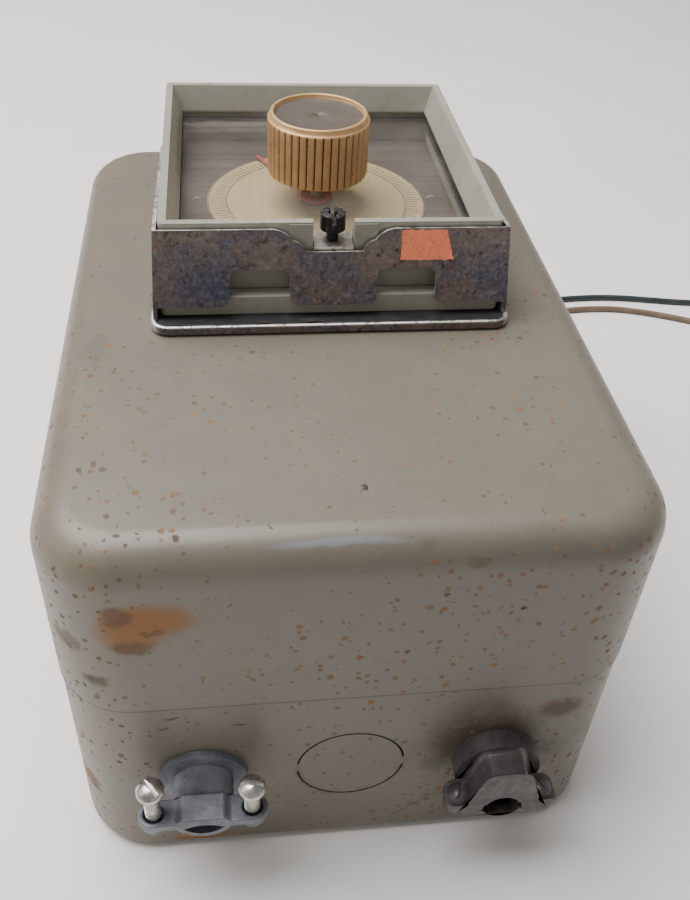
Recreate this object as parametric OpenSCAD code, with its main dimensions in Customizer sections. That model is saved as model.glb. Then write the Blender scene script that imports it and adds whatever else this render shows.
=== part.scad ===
// Dial timer control box: a drawn-steel enclosure lying on its back, with a plug-in
// reset timer through its cover, two cable clamps at one end and two wire leads.
// Millimetres. Origin at the middle of the back face, +X to the right, +Y away from
// the cable-clamp end, +Z out through the timer.

/* [Enclosure] */
// Width of the enclosure over the cover
box_w = 178; // [170:1:214]
// Length of the enclosure over the cover
box_l = 248; // [240:1:298]
// Height of the enclosure from its back face to the top of the cover
box_h = 145.2; // [140:0.1:175]
// Height of the seam between back box and cover
seam_z = 81; // [72:0.5:90]
// Plan radius of the drawn corners
corner_r = 24.5; // [20:0.5:30]
// Radius of the cover's top edge
cover_edge_r = 12; // [8:0.5:16]
// Radius of the back box's bottom edge
base_edge_r = 6; // [4:0.5:10]
// Sheet thickness of box and cover
sheet_t = 1.5; // [1.2:0.1:2]
// How far the back box stands inside the cover's outline
base_inset = 0.5; // [0.3:0.1:1]
// Gap at the seam
seam_gap = 0.5; // [0.3:0.1:1]
// Height of the lip that locates the cover
lip_h = 8; // [5:0.5:12]

/* [Knockouts and wall mounting] */
// Height of the knockout row above the back face
ko_z = 44.6; // [42:0.1:50]
// Distance between knockout centres
ko_pitch = 47; // [44:0.5:52]
// Radius of the middle knockout
ko_r = 17.45; // [14:0.05:17.5]
// Radius of the holes that take the cable clamps
clamp_hole_r = 11.1; // [10.6:0.05:11.5]
// Width of the punched outline
ko_slit = 0.6; // [0.4:0.1:1]
// Width of the two bridges that hold the knockout
ko_bridge_w = 4; // [3:0.5:6]
// Wall mounting hole spacing across the box
mount_dx = 114.3; // [100:0.1:125]
// Wall mounting hole spacing along the box
mount_dy = 190.5; // [170:0.1:200]
// Radius of the wall mounting holes
mount_hole_r = 3.6; // [2.6:0.1:4.5]

/* [Timer] */
// Timer centre across the box
timer_x = 0.6; // [-3:0.1:3]
// Distance from the timer's centre to the far end of the cover
timer_inset = 79; // [74:0.5:94]
// Bezel width
bezel_w = 110.8; // [108:0.1:114]
// Bezel length
bezel_l = 118; // [116:0.1:121]
// Height of the bezel's top above the cover
bezel_h = 33.8; // [32:0.1:36]
// Thickness of the bezel's rim at the top
bezel_rim_t = 2.6; // [2:0.1:3.2]
// How far the bezel's inner walls slope in
bezel_slope = 3.3; // [2:0.1:4]
// Depth of the window below the rim
window_drop = 8.7; // [7:0.1:10]
// Thickness of the window
window_t = 2.5; // [2:0.1:3]
// Height of the dial face above the cover
dial_h = 12.5; // [12.2:0.1:15]
// Radius of the scale disc
disc_r = 40.6; // [34:0.1:44]
// Knob radius over the flutes
knob_r = 18.2; // [14:0.1:20]
// Knob height
knob_h = 21.7; // [16:0.1:24]
// Number of flutes on the knob
knob_flutes = 40; // [24:1:60]
// Distance of the knob from the timer's centre, towards the clamps
knob_off = 1.5; // [0:0.1:3]

/* [Timer frame] */
// Width of the frame's flange
frame_w = 119; // [118:0.1:124]
// Length of the frame's flange
frame_l = 143; // [136:0.5:146]
// Sheet thickness of the frame
frame_t = 1.2; // [1:0.1:1.5]
// Height of the front plate's foot above the cover
plate_foot_h = 7.7; // [7:0.1:10]
// Width of the front plate
plate_w = 112.2; // [110:0.1:113]
// Lean of the front plate towards the timer, in degrees
plate_lean = 12.4; // [10:0.1:14]
// Depth of the dip in the top of the front plate
dip_d = 7.4; // [5:0.1:9]
// Half width of the bottom of the dip
dip_half_w = 9.4; // [8:0.1:11]
// Height of the two notches in the bottom of the front plate
notch_h = 12.2; // [8:0.1:14]
// Distance from the middle to the inner side of a notch
notch_in = 14.2; // [12:0.1:16]
// Distance from the middle to the outer side of a notch
notch_out = 33.6; // [30:0.1:36]

/* [Cable clamps] */
// Radius of the left clamp's flange
left_flange_r = 14.1; // [13:0.1:16]
// Radius of the right clamp's collar
right_collar_r = 13.9; // [13:0.1:16]
// Radius of the cable passage through both clamps
throat_r = 7.8; // [6:0.1:8]
// Length of the left strap
left_strap_l = 39.7; // [38:0.1:42]
// Length of the right strap
right_strap_l = 37.2; // [36:0.1:40]
// Width of the left strap along the cable
strap_w = 8.8; // [8:0.1:10]
// Distance between the left clamp's screws
left_pitch = 30; // [28.5:0.1:31]
// Distance between the right clamp's screws
right_pitch = 26; // [25.5:0.1:28]
// Radius of the clamp screws' shanks
clamp_screw_r = 2.4; // [2:0.1:2.6]
// Radius of the clamp screws' heads
clamp_head_r = 4.2; // [3.8:0.1:4.6]

/* [Leads] */
// Diameter over the insulation of each lead
lead_d = 3.5; // [3:0.1:3.5]
// Diameter of the bare conductor
strand_d = 1.8; // [1.2:0.1:2]

/* [Hidden] */
$fn = 96;

// Shared fits
touch = 0.05;       // between parts that rest on each other but move apart
slip = 0.5;         // round the timer where it slides
run = 0.05;         // radial clearance of a shaft in its bore
seat = 0.2;         // round a part dropped into a recess

// Enclosure
base_w = box_w - 2 * base_inset;
base_l = box_l - 2 * base_inset;
base_corner_r = corner_r - base_inset;
near_y = -base_l / 2;
far_y = base_l / 2;
timer_y = box_l / 2 - timer_inset;
case_w = 102;
case_l = 102;
case_t = 1.2;
case_floor_z = 44;
cutout_w = case_w + 4;
cutout_l = case_l + 14;
bracket_z = 102;
bracket_y = box_l / 2 - corner_r - 6.5;
bracket_w = 11;
side_screw_r = 2.1;

// Timer frame
gasket_z = box_h;
flange_z = box_h + 0.8;
lip_r = 0.9;
stud_dx = 45;
stud_dy = cutout_l / 2 + 4.5;
stud_r = 2.1;
timer_gasket_z = flange_z + frame_t;
timer_gasket_t = 1.2;
collar_z = timer_gasket_z + timer_gasket_t;
collar_h = 6.9;
collar_w = bezel_w + 2;
collar_in_w = case_w + 1;
collar_in_l = case_l + 13;
bezel_z0 = collar_z + collar_h + 0.3;
bezel_z1 = box_h + bezel_h;
bezel_near = timer_y - bezel_l / 2;
plate_top_z = bezel_z1 - 1.5;
plate_top_y = bezel_near - slip - frame_t;
plate_h = (plate_top_z - box_h - plate_foot_h) / cos(plate_lean);
plate_in_y = plate_top_y - (plate_top_z - collar_z - collar_h) * tan(plate_lean) + frame_t / cos(plate_lean);
collar_gap = 0.5;   // between the collar and the leaning plate
collar_l = 2 * (timer_y - plate_in_y - collar_gap);
arm_lean = 3;
arm_spread = 0.8 + plate_h * sin(arm_lean);
arm_inside = plate_w / 2 - 0.2 + (plate_top_z - collar_z) * tan(arm_lean);

// Window and dial
open_w = bezel_w - 2 * (bezel_rim_t + bezel_slope);
open_l = bezel_l - 2 * (bezel_rim_t + bezel_slope);
window_z1 = bezel_z1 - window_drop - 1;
window_z0 = window_z1 - window_t;
glass_w = open_w + 3.4;
glass_l = open_l + 3.4;
dial_z = box_h + dial_h;
disc_t = 0.6;
plate_t = 1.2;
knob_x = timer_x;
knob_y = timer_y - knob_off;
knob_gap = 0.7;      // running clearance under the knob
knob_rim_in = 0.9;   // how far the plain rim stands in from the flutes
knob_cup_r = knob_r - knob_rim_in - 1.4;
knob_z0 = window_z1 + knob_gap;
knob_z1 = knob_z0 + knob_h;
shaft_r = 3;

// Captive screw
bracket_top = bezel_z1 - 7.8;
bracket_t = 1.2;
captive_y = bezel_near + 4.4;
captive_r = 2;
captive_head_r = 4.1;
captive_head_h = 5.6;
captive_lift = 3.4;

// Chassis levels
front_plate_z = bezel_z0 - 5.8;
front_plate_t = 2;
back_plate_z = 72;
back_plate_t = 2;
gear_plate_z = 108;
gear_bridge_z = 126;
thin_t = 1.6;
chassis_w = case_w - 2 * case_t - 1;
chassis_l = case_l - 2 * case_t - 1;
post_dx = chassis_w / 2 - 5;
post_dy = chassis_l / 2 - 5;

// Gear train: the pinion drives the idler's large gear, whose small gear drives the wheel
gear_m = 0.8;
wheel_n = 60;
idler_small_n = 15;
idler_large_n = 48;
pinion_n = 12;
wheel_c = [knob_x, knob_y];
idler_c = wheel_c + [0, gear_m * (wheel_n + idler_small_n) / 2];
motor_c = idler_c + [-gear_m * (idler_large_n + pinion_n) / 2, 0];
mesh_low_z = 114;
mesh_high_z = 119;
mesh_t = 3;
arbor_r = 2;

// Trip lever beside the timing wheel
lever_r = 1.5;
lever_c = [timer_x + 36, timer_y - 27];

// Contacts: two rows of five
contact_dx = 16;
contact_dy = 30;
contacts = [for (i = [-2:2], j = [-1, 1]) [timer_x + i * contact_dx, timer_y + j * contact_dy / 2]];
block_w = 88;
block_l = 46;

// Cable clamps
left_c = [-ko_pitch, near_y, ko_z];
right_c = [ko_pitch, near_y, ko_z];
thread_r = clamp_hole_r - 0.3;
locknut_t = 3.5;

// Leads. The exit is the outer face of the bushing in the far wall.
lead_exit_y = far_y + 8;
lead_z = ko_z;
floor_z = lead_d / 2;
drawn_exit = [47, 131.5, 44.6];     // exit that the routes below were laid out from
drawn_timer = [0.6, 45];            // and the timer's centre
black_route = from_exit([[45, 131.5, 44.6], [45, 134.5, 44.6], [45, 138, 44.6], [45.2, 146, 43], [46.5, 154, 35], [49, 159, 23],
    [54, 164, 11], [63, 171, 3.4], [75, 179, 1.75], [91, 188, 1.75], [109, 197, 1.75],
    [128, 205, 1.75], [146, 211, 1.75], [163, 215, 1.75], [180, 217, 1.75], [198, 218, 1.75],
    [216, 217, 1.75], [234, 214, 1.75], [251, 211, 1.75], [268, 209, 1.75], [282, 208, 1.75]]);
tan_route = from_exit([[50, 131.5, 44.6], [50, 134.5, 44.6], [50, 138, 44.6], [50.6, 145, 43], [53, 152, 35], [56, 156, 23],
    [62, 160, 11], [71, 165, 3.4], [83, 171, 1.75], [98, 178, 1.75], [114, 185, 1.75],
    [130, 192, 1.75], [146, 197.5, 1.75], [162, 201.5, 1.75], [178, 204, 1.75], [194, 205, 1.75],
    [209, 204, 1.75], [223, 200.5, 1.75], [237, 195.5, 1.75], [252, 189, 1.75], [266, 182, 1.75]]);
black_inner = to_timer([[45, 131.5, 44.6], [45, 124, 44.6], [45, 117, 44.6], [45, 113, 44.6],
    [44, 105, 42], [40, 91, 36], [34, 76, 32],
    [32.6, 62, 34]]);
tan_inner = to_timer([[50, 131.5, 44.6], [50, 124, 44.6], [50, 117, 44.6], [50, 113, 44.6],
    [49.5, 104, 40], [47, 86, 30], [40, 56, 22],
    [26, 42, 20], [17, 35, 26], [16.6, 31, 34]]);

// Routes moved with the bushing, and inside the box also with the timer
function from_exit(p) = [for (q = p) [q[0] + ko_pitch - drawn_exit[0], q[1] + lead_exit_y - drawn_exit[1],
    q[2] > floor_z ? q[2] * lead_z / drawn_exit[2] : q[2]]];
function to_timer(p) = concat(from_exit([for (i = [0:3]) p[i]]),
    [for (i = [4:len(p) - 1]) p[i] + [timer_x - drawn_timer[0], timer_y - drawn_timer[1], 0]]);

// Point on a Catmull-Rom curve between p[i] and p[i + 1]
function at(p, i) = p[max(0, min(len(p) - 1, i))];
function spline(p, i, t) = 0.5 * (2 * at(p, i) + (at(p, i + 1) - at(p, i - 1)) * t
    + (2 * at(p, i - 1) - 5 * at(p, i) + 4 * at(p, i + 1) - at(p, i + 2)) * t * t
    + (3 * at(p, i) - at(p, i - 1) - 3 * at(p, i + 1) + at(p, i + 2)) * t * t * t);
function curve(p, n) = [for (i = [0:len(p) - 2], k = [0:n - 1]) spline(p, i, k / n), p[len(p) - 1]];
function unit(v) = v / norm(v);
function heading(q, i) = unit(q[min(len(q) - 1, i + 1)] - q[max(0, i - 1)]);
function side_of(t) = abs(t[2]) > 0.95 ? unit(cross(t, [1, 0, 0])) : unit(cross(t, [0, 0, 1]));
function ring(c, t, r, n) = let (s = side_of(t), u = cross(s, t))
    [for (k = [0:n - 1]) c + r * (cos(360 * (k + 0.5) / n) * s + sin(360 * (k + 0.5) / n) * u)];

// A closed tube of n sides along the points q
module tube(q, r, n) {
    m = len(q);
    pts = [for (i = [0:m - 1]) each ring(q[i], i == 0 ? unit(q[1] - q[0]) : heading(q, i), r, n)];
    faces = [
        [for (k = [0:n - 1]) k],
        for (i = [0:m - 2], k = [0:n - 1])
            [i * n + k, (i + 1) * n + k, (i + 1) * n + (k + 1) % n, i * n + (k + 1) % n],
        [for (k = [n - 1:-1:0]) (m - 1) * n + k]
    ];
    polyhedron(points = pts, faces = faces);
}

// Rectangle with round corners, centred
module rrect(w, l, r) {
    union() {
        square([w - 2 * r, l], center = true);
        square([w, l - 2 * r], center = true);
        for (x = [-1, 1], y = [-1, 1]) translate([x * (w / 2 - r), y * (l / 2 - r)]) circle(r);
    }
}

module slab(w, l, r, z, h) {
    translate([0, 0, z]) linear_extrude(h) rrect(w, l, r);
}

// A wall profile carried round a rounded rectangle. The profile's x is measured
// inwards from the outside face and its y is height.
module rim_sweep(w, l, r) {
    for (a = [0, 90, 180, 270]) {
        long = (a % 180 == 0) ? l : w;
        reach = (a % 180 == 0) ? w : l;
        rotate([0, 0, a]) {
            translate([reach / 2, long / 2 - r, 0]) rotate([90, 0, 0])
                linear_extrude(long - 2 * r) mirror([1, 0]) children();
            translate([reach / 2 - r, long / 2 - r, 0])
                rotate_extrude(angle = 90) translate([r, 0]) mirror([1, 0]) children();
        }
    }
}

// Wall with one rounded outer edge: from the floor's inner end round the edge to the open end
module drawn_profile(h, edge_r, t, r) {
    difference() {
        union() {
            translate([0, edge_r]) square([t, h - edge_r]);
            translate([edge_r, 0]) square([r - edge_r, t]);
            intersection() {
                translate([edge_r, edge_r]) circle(edge_r);
                square([edge_r, edge_r]);
            }
        }
        intersection() {
            translate([edge_r, edge_r]) circle(edge_r - t);
            square([edge_r, edge_r]);
        }
    }
}

module drawn_shell(w, l, r, h, edge_r, t) {
    rim_sweep(w, l, r) drawn_profile(h, edge_r, t, r);
    linear_extrude(t) square([w - 2 * r, l - 2 * r], center = true);
}

// Drill along -Y through the near wall
module near_hole(x, z, r) {
    translate([x, near_y + 5, z]) rotate([90, 0, 0]) cylinder(r = r, h = 10);
}

module back_box() {
    color("#8d9186") difference() {
        union() {
            drawn_shell(base_w, base_l, base_corner_r, seam_z, base_edge_r, sheet_t);
            // joggled lip that the cover slides over
            rim_sweep(base_w - 2 * sheet_t, base_l - 2 * sheet_t, base_corner_r - sheet_t)
                translate([0, seam_z - lip_h]) square([sheet_t - 0.2, 2 * lip_h]);
        }
        near_hole(left_c[0], ko_z, clamp_hole_r);
        near_hole(right_c[0], ko_z, clamp_hole_r);
        difference() {
            near_hole(0, ko_z, ko_r);
            near_hole(0, ko_z, ko_r - ko_slit);
            translate([0, near_y, ko_z]) cube([3 * ko_r, 12, ko_bridge_w], center = true);
        }
        translate([ko_pitch, far_y - 5, ko_z]) rotate([-90, 0, 0]) cylinder(r = clamp_hole_r, h = 10);
        for (x = [-ko_pitch, 0]) difference() {
            translate([x, far_y - 5, ko_z]) rotate([-90, 0, 0]) cylinder(r = clamp_hole_r, h = 10);
            translate([x, far_y - 5, ko_z]) rotate([-90, 0, 0])
                cylinder(r = clamp_hole_r - ko_slit, h = 10);
            translate([x, far_y, ko_z]) cube([3 * ko_r, 12, ko_bridge_w], center = true);
        }
        for (x = [-1, 1], y = [-1, 1]) translate([x * mount_dx / 2, y * mount_dy / 2, -1])
            cylinder(r = mount_hole_r, h = sheet_t + 2);
    }
}

// Upright tabs inside the box that the cover's side screws enter
module cover_brackets() {
    inside = base_w / 2 - sheet_t - (sheet_t - 0.2);
    color("#8d9186") for (s = [-1, 1], y = [-1, 1]) translate([0, y * bracket_y, 0]) {
        difference() {
            translate([s > 0 ? inside - 2 - touch : -inside + touch, -bracket_w / 2, 30])
                cube([2, bracket_w, bracket_z - 30 + 10]);
            translate([s * (inside - 1), 0, bracket_z]) rotate([0, 90, 0])
                cylinder(r = side_screw_r, h = 8, center = true);
        }
    }
}

module cover() {
    h = box_h - seam_z - seam_gap;
    color("#8d9186") difference() {
        translate([0, 0, box_h]) mirror([0, 0, 1])
            drawn_shell(box_w, box_l, corner_r, h, cover_edge_r, sheet_t);
        translate([timer_x - cutout_w / 2, timer_y - cutout_l / 2, box_h - sheet_t - 1])
            cube([cutout_w, cutout_l, sheet_t + 2]);
        for (s = [-1, 1], y = [-1, 1])
            translate([s * box_w / 2, y * bracket_y, bracket_z]) rotate([0, 90, 0])
                cylinder(r = side_screw_r + 0.2, h = 8, center = true);
        for (x = [-1, 1], y = [-1, 1])
            translate([timer_x + x * stud_dx, timer_y + y * stud_dy, box_h - sheet_t - 1])
                cylinder(r = stud_r + 0.1, h = sheet_t + 2);
    }
}

// Slotted pan head whose underside is at z = 0, with its shank below
module slotted_screw(head_r, head_h, shank_r, shank_l, slot_w, slot_d) {
    difference() {
        union() {
            rotate_extrude() intersection() {
                translate([0, head_h - head_r * 1.15]) circle(head_r * 1.15);
                square([head_r, head_h]);
            }
            translate([0, 0, -shank_l]) cylinder(r = shank_r, h = shank_l + 0.1);
        }
        translate([-slot_w / 2, -head_r - 1, head_h - slot_d]) cube([slot_w, 2 * head_r + 2, slot_d + 1]);
    }
}

module cover_screws() {
    color("#9a978c") for (s = [-1, 1], y = [-1, 1])
        translate([s * (box_w / 2 + touch), y * bracket_y, bracket_z]) rotate([0, s * 90, 0])
            slotted_screw(3.9, 2.2, side_screw_r - 0.1, 7, 1, 1.1);
}

// Flat ring round the timer
module timer_ring(w, l, r, in_w, in_l, z, h) {
    translate([timer_x, timer_y, z]) linear_extrude(h) difference() {
        rrect(w, l, r);
        square([in_w, in_l], center = true);
    }
}

module panel_gasket() {
    color("#1c1c1c") difference() {
        timer_ring(frame_w - 3, frame_l - 3, 5, cutout_w, cutout_l, gasket_z, flange_z - gasket_z);
        frame_stud_holes();
    }
}

module frame_stud_holes() {
    for (x = [-1, 1], y = [-1, 1]) translate([timer_x + x * stud_dx, timer_y + y * stud_dy, box_h - 1])
        cylinder(r = stud_r + 0.1, h = flange_z - box_h + 1);
}

// Outline of the front plate, x across and y up the slope from its bottom edge
module plate_outline() {
    ease = 5.4;
    fillet = 3;
    difference() {
        // as wide as the side arms, which spread towards the flange
        polygon([[-plate_w / 2 - arm_spread, 0], [plate_w / 2 + arm_spread, 0],
            [plate_w / 2 + 0.8, plate_h], [-plate_w / 2 - 0.8, plate_h]]);
        // dip for the captive screw, with an S-curve on each side
        translate([-dip_half_w, plate_h - dip_d]) square([2 * dip_half_w, dip_d + 1]);
        for (s = [-1, 1]) {
            difference() {
                translate([s > 0 ? dip_half_w : -dip_half_w - 2 * ease, plate_h - dip_d / 2])
                    square([2 * ease, dip_d]);
                translate([s * (dip_half_w + 2 * ease), plate_h - ease * 1.55]) circle(ease * 1.55);
            }
            difference() {
                translate([s > 0 ? dip_half_w - 0.1 : -dip_half_w - ease + 0.1, plate_h - dip_d])
                    square([ease, dip_d / 2 + 0.1]);
                translate([s * (dip_half_w + ease * 0.94), plate_h - dip_d * 1.02])
                    scale([1, 0.78]) circle(ease * 0.94);
            }
        }
        for (s = [-1, 1]) {
            a = s > 0 ? notch_in : -notch_out;
            w = notch_out - notch_in;
            difference() {
                translate([a, -1]) square([w, notch_h + 1]);
                for (k = [0, 1]) difference() {
                    translate([k == 0 ? a : a + w - fillet, notch_h - fillet]) square(fillet + 0.1);
                    translate([k == 0 ? a + fillet : a + w - fillet, notch_h - fillet]) circle(fillet);
                }
            }
            // rounded bottom corners of the three tabs
            for (k = [0, 1]) difference() {
                translate([k == 0 ? a - fillet : a + w - 0.1, -0.1]) square([fillet + 0.1, fillet + 0.1]);
                translate([k == 0 ? a - fillet : a + w + fillet, fillet]) circle(fillet);
            }
        }
    }
}

// Tray flange, front plate and two side arms, pressed from one sheet
module timer_frame() {
    arm_y0 = plate_top_y + 0.2;
    arm_y1 = timer_y + bezel_l / 2 - 8;
    arm_top = plate_top_z - flange_z;
    arm_x = plate_w / 2;
    color("#6d6a72") difference() {
        union() {
            timer_ring(frame_w, frame_l, 6, cutout_w, cutout_l, flange_z, frame_t);
            timer_ring_lip();
            // front plate, leaning in towards the bezel
            intersection() {
                translate([timer_x, plate_top_y, plate_top_z]) rotate([90 - plate_lean, 0, 0])
                    translate([0, -plate_h, -frame_t]) linear_extrude(frame_t) plate_outline();
                translate([-200, -200, flange_z]) cube([400, 400, 60]);
            }
            // side arms, leaning in at the top and falling towards the far end
            for (s = [-1, 1]) intersection() {
                translate([timer_x + s * arm_x, 0, plate_top_z]) rotate([0, -s * arm_lean, 0])
                    translate([s > 0 ? -0.2 : -frame_t + 0.2, 0, -arm_top - 3])
                    rotate([90, 0, 90]) linear_extrude(frame_t) polygon([[arm_y0, 3 + arm_top],
                        [arm_y0 + 2, 3 + arm_top], [arm_y1 - 22, arm_top - 9], [arm_y1, arm_top - 22],
                        [arm_y1, 0], [arm_y0 - 5.6, 0], [arm_y0 - 5.6, arm_top - 21.5]]);
                translate([-200, -200, flange_z]) cube([400, 400, 60]);
            }
        }
        frame_stud_holes();
    }
}

// Turned-up lip round the flange
module timer_ring_lip() {
    translate([timer_x, timer_y, flange_z + frame_t - 0.3])
        rim_sweep(frame_w, frame_l, 6) union() {
            square([2 * lip_r, lip_r]);
            translate([lip_r, lip_r]) circle(lip_r, $fn = 32);
        }
}

// Studs with nuts that hold the frame down through the cover
module frame_nuts() {
    color("#a8a59a") for (x = [-1, 1], y = [-1, 1])
        translate([timer_x + x * stud_dx, timer_y + y * stud_dy, 0]) {
            translate([0, 0, box_h - 9]) cylinder(r = stud_r, h = flange_z - box_h + 9);
            translate([0, 0, box_h - sheet_t - 3.2]) difference() {
                cylinder(r = 4.2, h = 3.2, $fn = 6);
                translate([0, 0, -1]) cylinder(r = stud_r, h = 6);
            }
        }
}

module timer_gasket() {
    color("#161616") timer_ring(2 * (arm_inside - seat), frame_l - 4 * lip_r - 0.4, 4,
        plate_w - 2, collar_l - 12, timer_gasket_z, timer_gasket_t);
}

// Moulded collar between the frame and the bezel
module timer_collar() {
    color("#868b81") timer_ring(collar_w, collar_l, 2.5, collar_in_w, collar_in_l, collar_z, collar_h);
}

module label_remnant() {
    color("#d9622f") translate([timer_x, plate_top_y, plate_top_z]) rotate([90 - plate_lean, 0, 0])
        linear_extrude(0.25) polygon([[21.6, -0.4], [35.8, -0.3], [36.8, -3], [37.4, -6.5],
            [38.9, -10.3], [28, -10.7], [21.4, -10.6]]);
}

// Fixed can that guides the timer and carries the contact block
module timer_case() {
    z1 = collar_z;
    color("#5b5e60") difference() {
        translate([timer_x - case_w / 2, timer_y - case_l / 2, case_floor_z])
            cube([case_w, case_l, z1 - case_floor_z]);
        translate([timer_x - case_w / 2 + case_t, timer_y - case_l / 2 + case_t, case_floor_z + 2])
            cube([case_w - 2 * case_t, case_l - 2 * case_t, z1]);
        for (c = contacts) translate([c[0], c[1], case_floor_z - 1]) cylinder(r = 3.4, h = 5);
    }
}

module contact_block() {
    z0 = case_floor_z + 2;
    color("#3a2f28") difference() {
        translate([timer_x - block_w / 2, timer_y - block_l / 2, z0]) cube([block_w, block_l, 14]);
        for (c = contacts) translate([c[0], c[1], z0 + 7.5]) cube([4, 10, 15.1], center = true);
    }
}

// Female contacts, each a bent leaf with its solder tail below the case
module contact_springs() {
    color("#c8a860") for (c = contacts) translate([c[0], c[1], 0]) {
        for (s = [-1, 1]) translate([s > 0 ? 0.7 : -1.3, -3.5, case_floor_z + 6])
            cube([0.6, 7, 9.5]);
        translate([-1.3, -3.5, case_floor_z + 5]) cube([2.6, 7, 1.2]);
        translate([-1.3, -1.5, case_floor_z - 9]) cube([2.6, 3, 14.5]);
    }
}

module terminal_screws() {
    color("#b5a878") for (c = contacts) translate([c[0] + 1.3, c[1], case_floor_z - 6])
        rotate([0, 90, 0]) slotted_screw(2.6, 1.6, 1.2, 0, 0.7, 0.8);
}

// Threaded lug on the collar that the captive screw pulls down to
module lock_nut() {
    y0 = timer_y - collar_in_l / 2;
    color("#9c9a92") difference() {
        translate([timer_x - 6, y0 + touch, collar_z]) cube([12, timer_y - case_l / 2 - y0 - 2 * touch, 6]);
        translate([timer_x, captive_y, collar_z - 1]) cylinder(r = captive_r + run, h = 8);
    }
}

module bezel() {
    rim_in_w = bezel_w - 2 * bezel_rim_t;
    rim_in_l = bezel_l - 2 * bezel_rim_t;
    notch_w = 13.3;
    near = -bezel_l / 2;
    ledge_z = window_z1;
    color("#8a9086") translate([timer_x, timer_y, 0]) difference() {
        union() {
            slab(bezel_w, bezel_l, 2, bezel_z0, bezel_z1 - bezel_z0);
            // thicker middle of the near wall, showing in the plate's dip
            translate([-14.3, near - 0.35, bezel_z0 + 8]) cube([28.6, 2, bezel_z1 - bezel_z0 - 8.6]);
        }
        // sloping inside above the window
        bezel_funnel(rim_in_w, rim_in_l, window_drop);
        translate([-open_w / 2, -open_l / 2, ledge_z - 1])
            cube([open_w, open_l, window_drop + 0.2]);
        // seat for the window and the space behind it
        translate([-glass_w / 2 - seat, -glass_l / 2 - seat, bezel_z0 - 1])
            cube([glass_w + 2 * seat, glass_l + 2 * seat, ledge_z - bezel_z0 + 1]);
        // notch and drilling for the captive screw
        translate([-notch_w / 2, near - 2, bracket_top - bracket_t])
            cube([notch_w, bezel_rim_t + bezel_slope + 3, 20]);
        translate([0, captive_y - timer_y, bezel_z0 - 1]) cylinder(r = captive_r + 0.6, h = 40);
    }
}

// Four sloping planes that narrow the opening down to the window
module bezel_funnel(w, l, d) {
    lean_x = atan(bezel_slope / d);
    intersection() {
        for_walls(w, l, d, lean_x);
        translate([-w / 2 - 1, -l / 2 - 1, bezel_z1 - d]) cube([w + 2, l + 2, d + 1]);
    }
}

module for_walls(w, l, d, lean) {
    long = 2 * bezel_l;
    intersection() {
        translate([0, long / 2, bezel_z1]) rotate([90, 0, 0]) linear_extrude(long)
            polygon([[-w / 2 + bezel_slope, -d], [w / 2 - bezel_slope, -d], [w / 2, 0], [w / 2, 2],
                [-w / 2, 2], [-w / 2, 0]]);
        translate([-long / 2, 0, bezel_z1]) rotate([90, 0, 90]) linear_extrude(long)
            polygon([[-l / 2 + bezel_slope, -d], [l / 2 - bezel_slope, -d], [l / 2, 0], [l / 2, 2],
                [-l / 2, 2], [-l / 2, 0]]);
    }
}

module window() {
    color([0.8, 0.85, 0.85, 0.35]) difference() {
        translate([timer_x - glass_w / 2, timer_y - glass_l / 2, window_z0])
            cube([glass_w, glass_l, window_t]);
        screw_relief(window_z0 - 1, window_t + 2);
        translate([knob_x, knob_y, window_z0 - 1]) cylinder(r = shaft_r + 2, h = window_t + 2);
    }
}

// Room for the captive screw in the near edge of the window parts
module screw_relief(z, h) {
    translate([timer_x - 4, bezel_near - 1, z]) cube([8, captive_y - bezel_near + 1 + 3.6, h]);
}

module window_gasket() {
    z = window_z0 - 1.4;
    color("#151515") difference() {
        timer_ring(glass_w, glass_l, 1, open_w - 0.8, open_l - 0.8, z, 1.4);
        screw_relief(z - 1, 4);
    }
}

module dial_plate() {
    color("#6b645f") difference() {
        translate([timer_x - glass_w / 2, timer_y - glass_l / 2, dial_z - disc_t - plate_t])
            cube([glass_w, glass_l, plate_t]);
        screw_relief(dial_z - 5, 8);
        translate([knob_x, knob_y, dial_z - 5]) cylinder(r = shaft_r + 1.2, h = 8);
    }
}

module scale_disc() {
    color("#cdbb98") translate([knob_x, knob_y, dial_z - disc_t]) difference() {
        cylinder(r = disc_r, h = disc_t, $fn = 180);
        translate([0, 0, -1]) cylinder(r = shaft_r + 1.2, h = 4);
    }
}

// Bright bracket in the bezel's notch that the captive screw bears on
module latch_bracket() {
    w = 12.6;
    y0 = bezel_near - 1.7;
    color("#a9a49a") difference() {
        union() {
            translate([timer_x - w / 2, y0, bracket_top - bracket_t])
                cube([w, captive_y - y0 + 3.2, bracket_t]);
            translate([timer_x - w / 2, y0, bracket_top - 8.5]) cube([w, 1.2, 8.5]);
        }
        translate([timer_x, captive_y, bracket_top - 5]) cylinder(r = captive_r + run, h = 10);
    }
}

module captive_screw() {
    z = bracket_top + captive_lift;
    color("#222222") translate([timer_x, captive_y, 0]) difference() {
        union() {
            translate([0, 0, z]) cylinder(r = captive_head_r, h = captive_head_h);
            translate([0, 0, collar_z + 7.5]) cylinder(r = captive_r, h = z - collar_z - 7.5);
        }
        translate([-0.7, -captive_head_r - 1, z + captive_head_h - 2.4])
            cube([1.4, 2 * captive_head_r + 2, 3]);
        translate([0, 0, z + captive_head_h - 2.4]) cylinder(r = 1.5, h = 3);
    }
}

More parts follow.
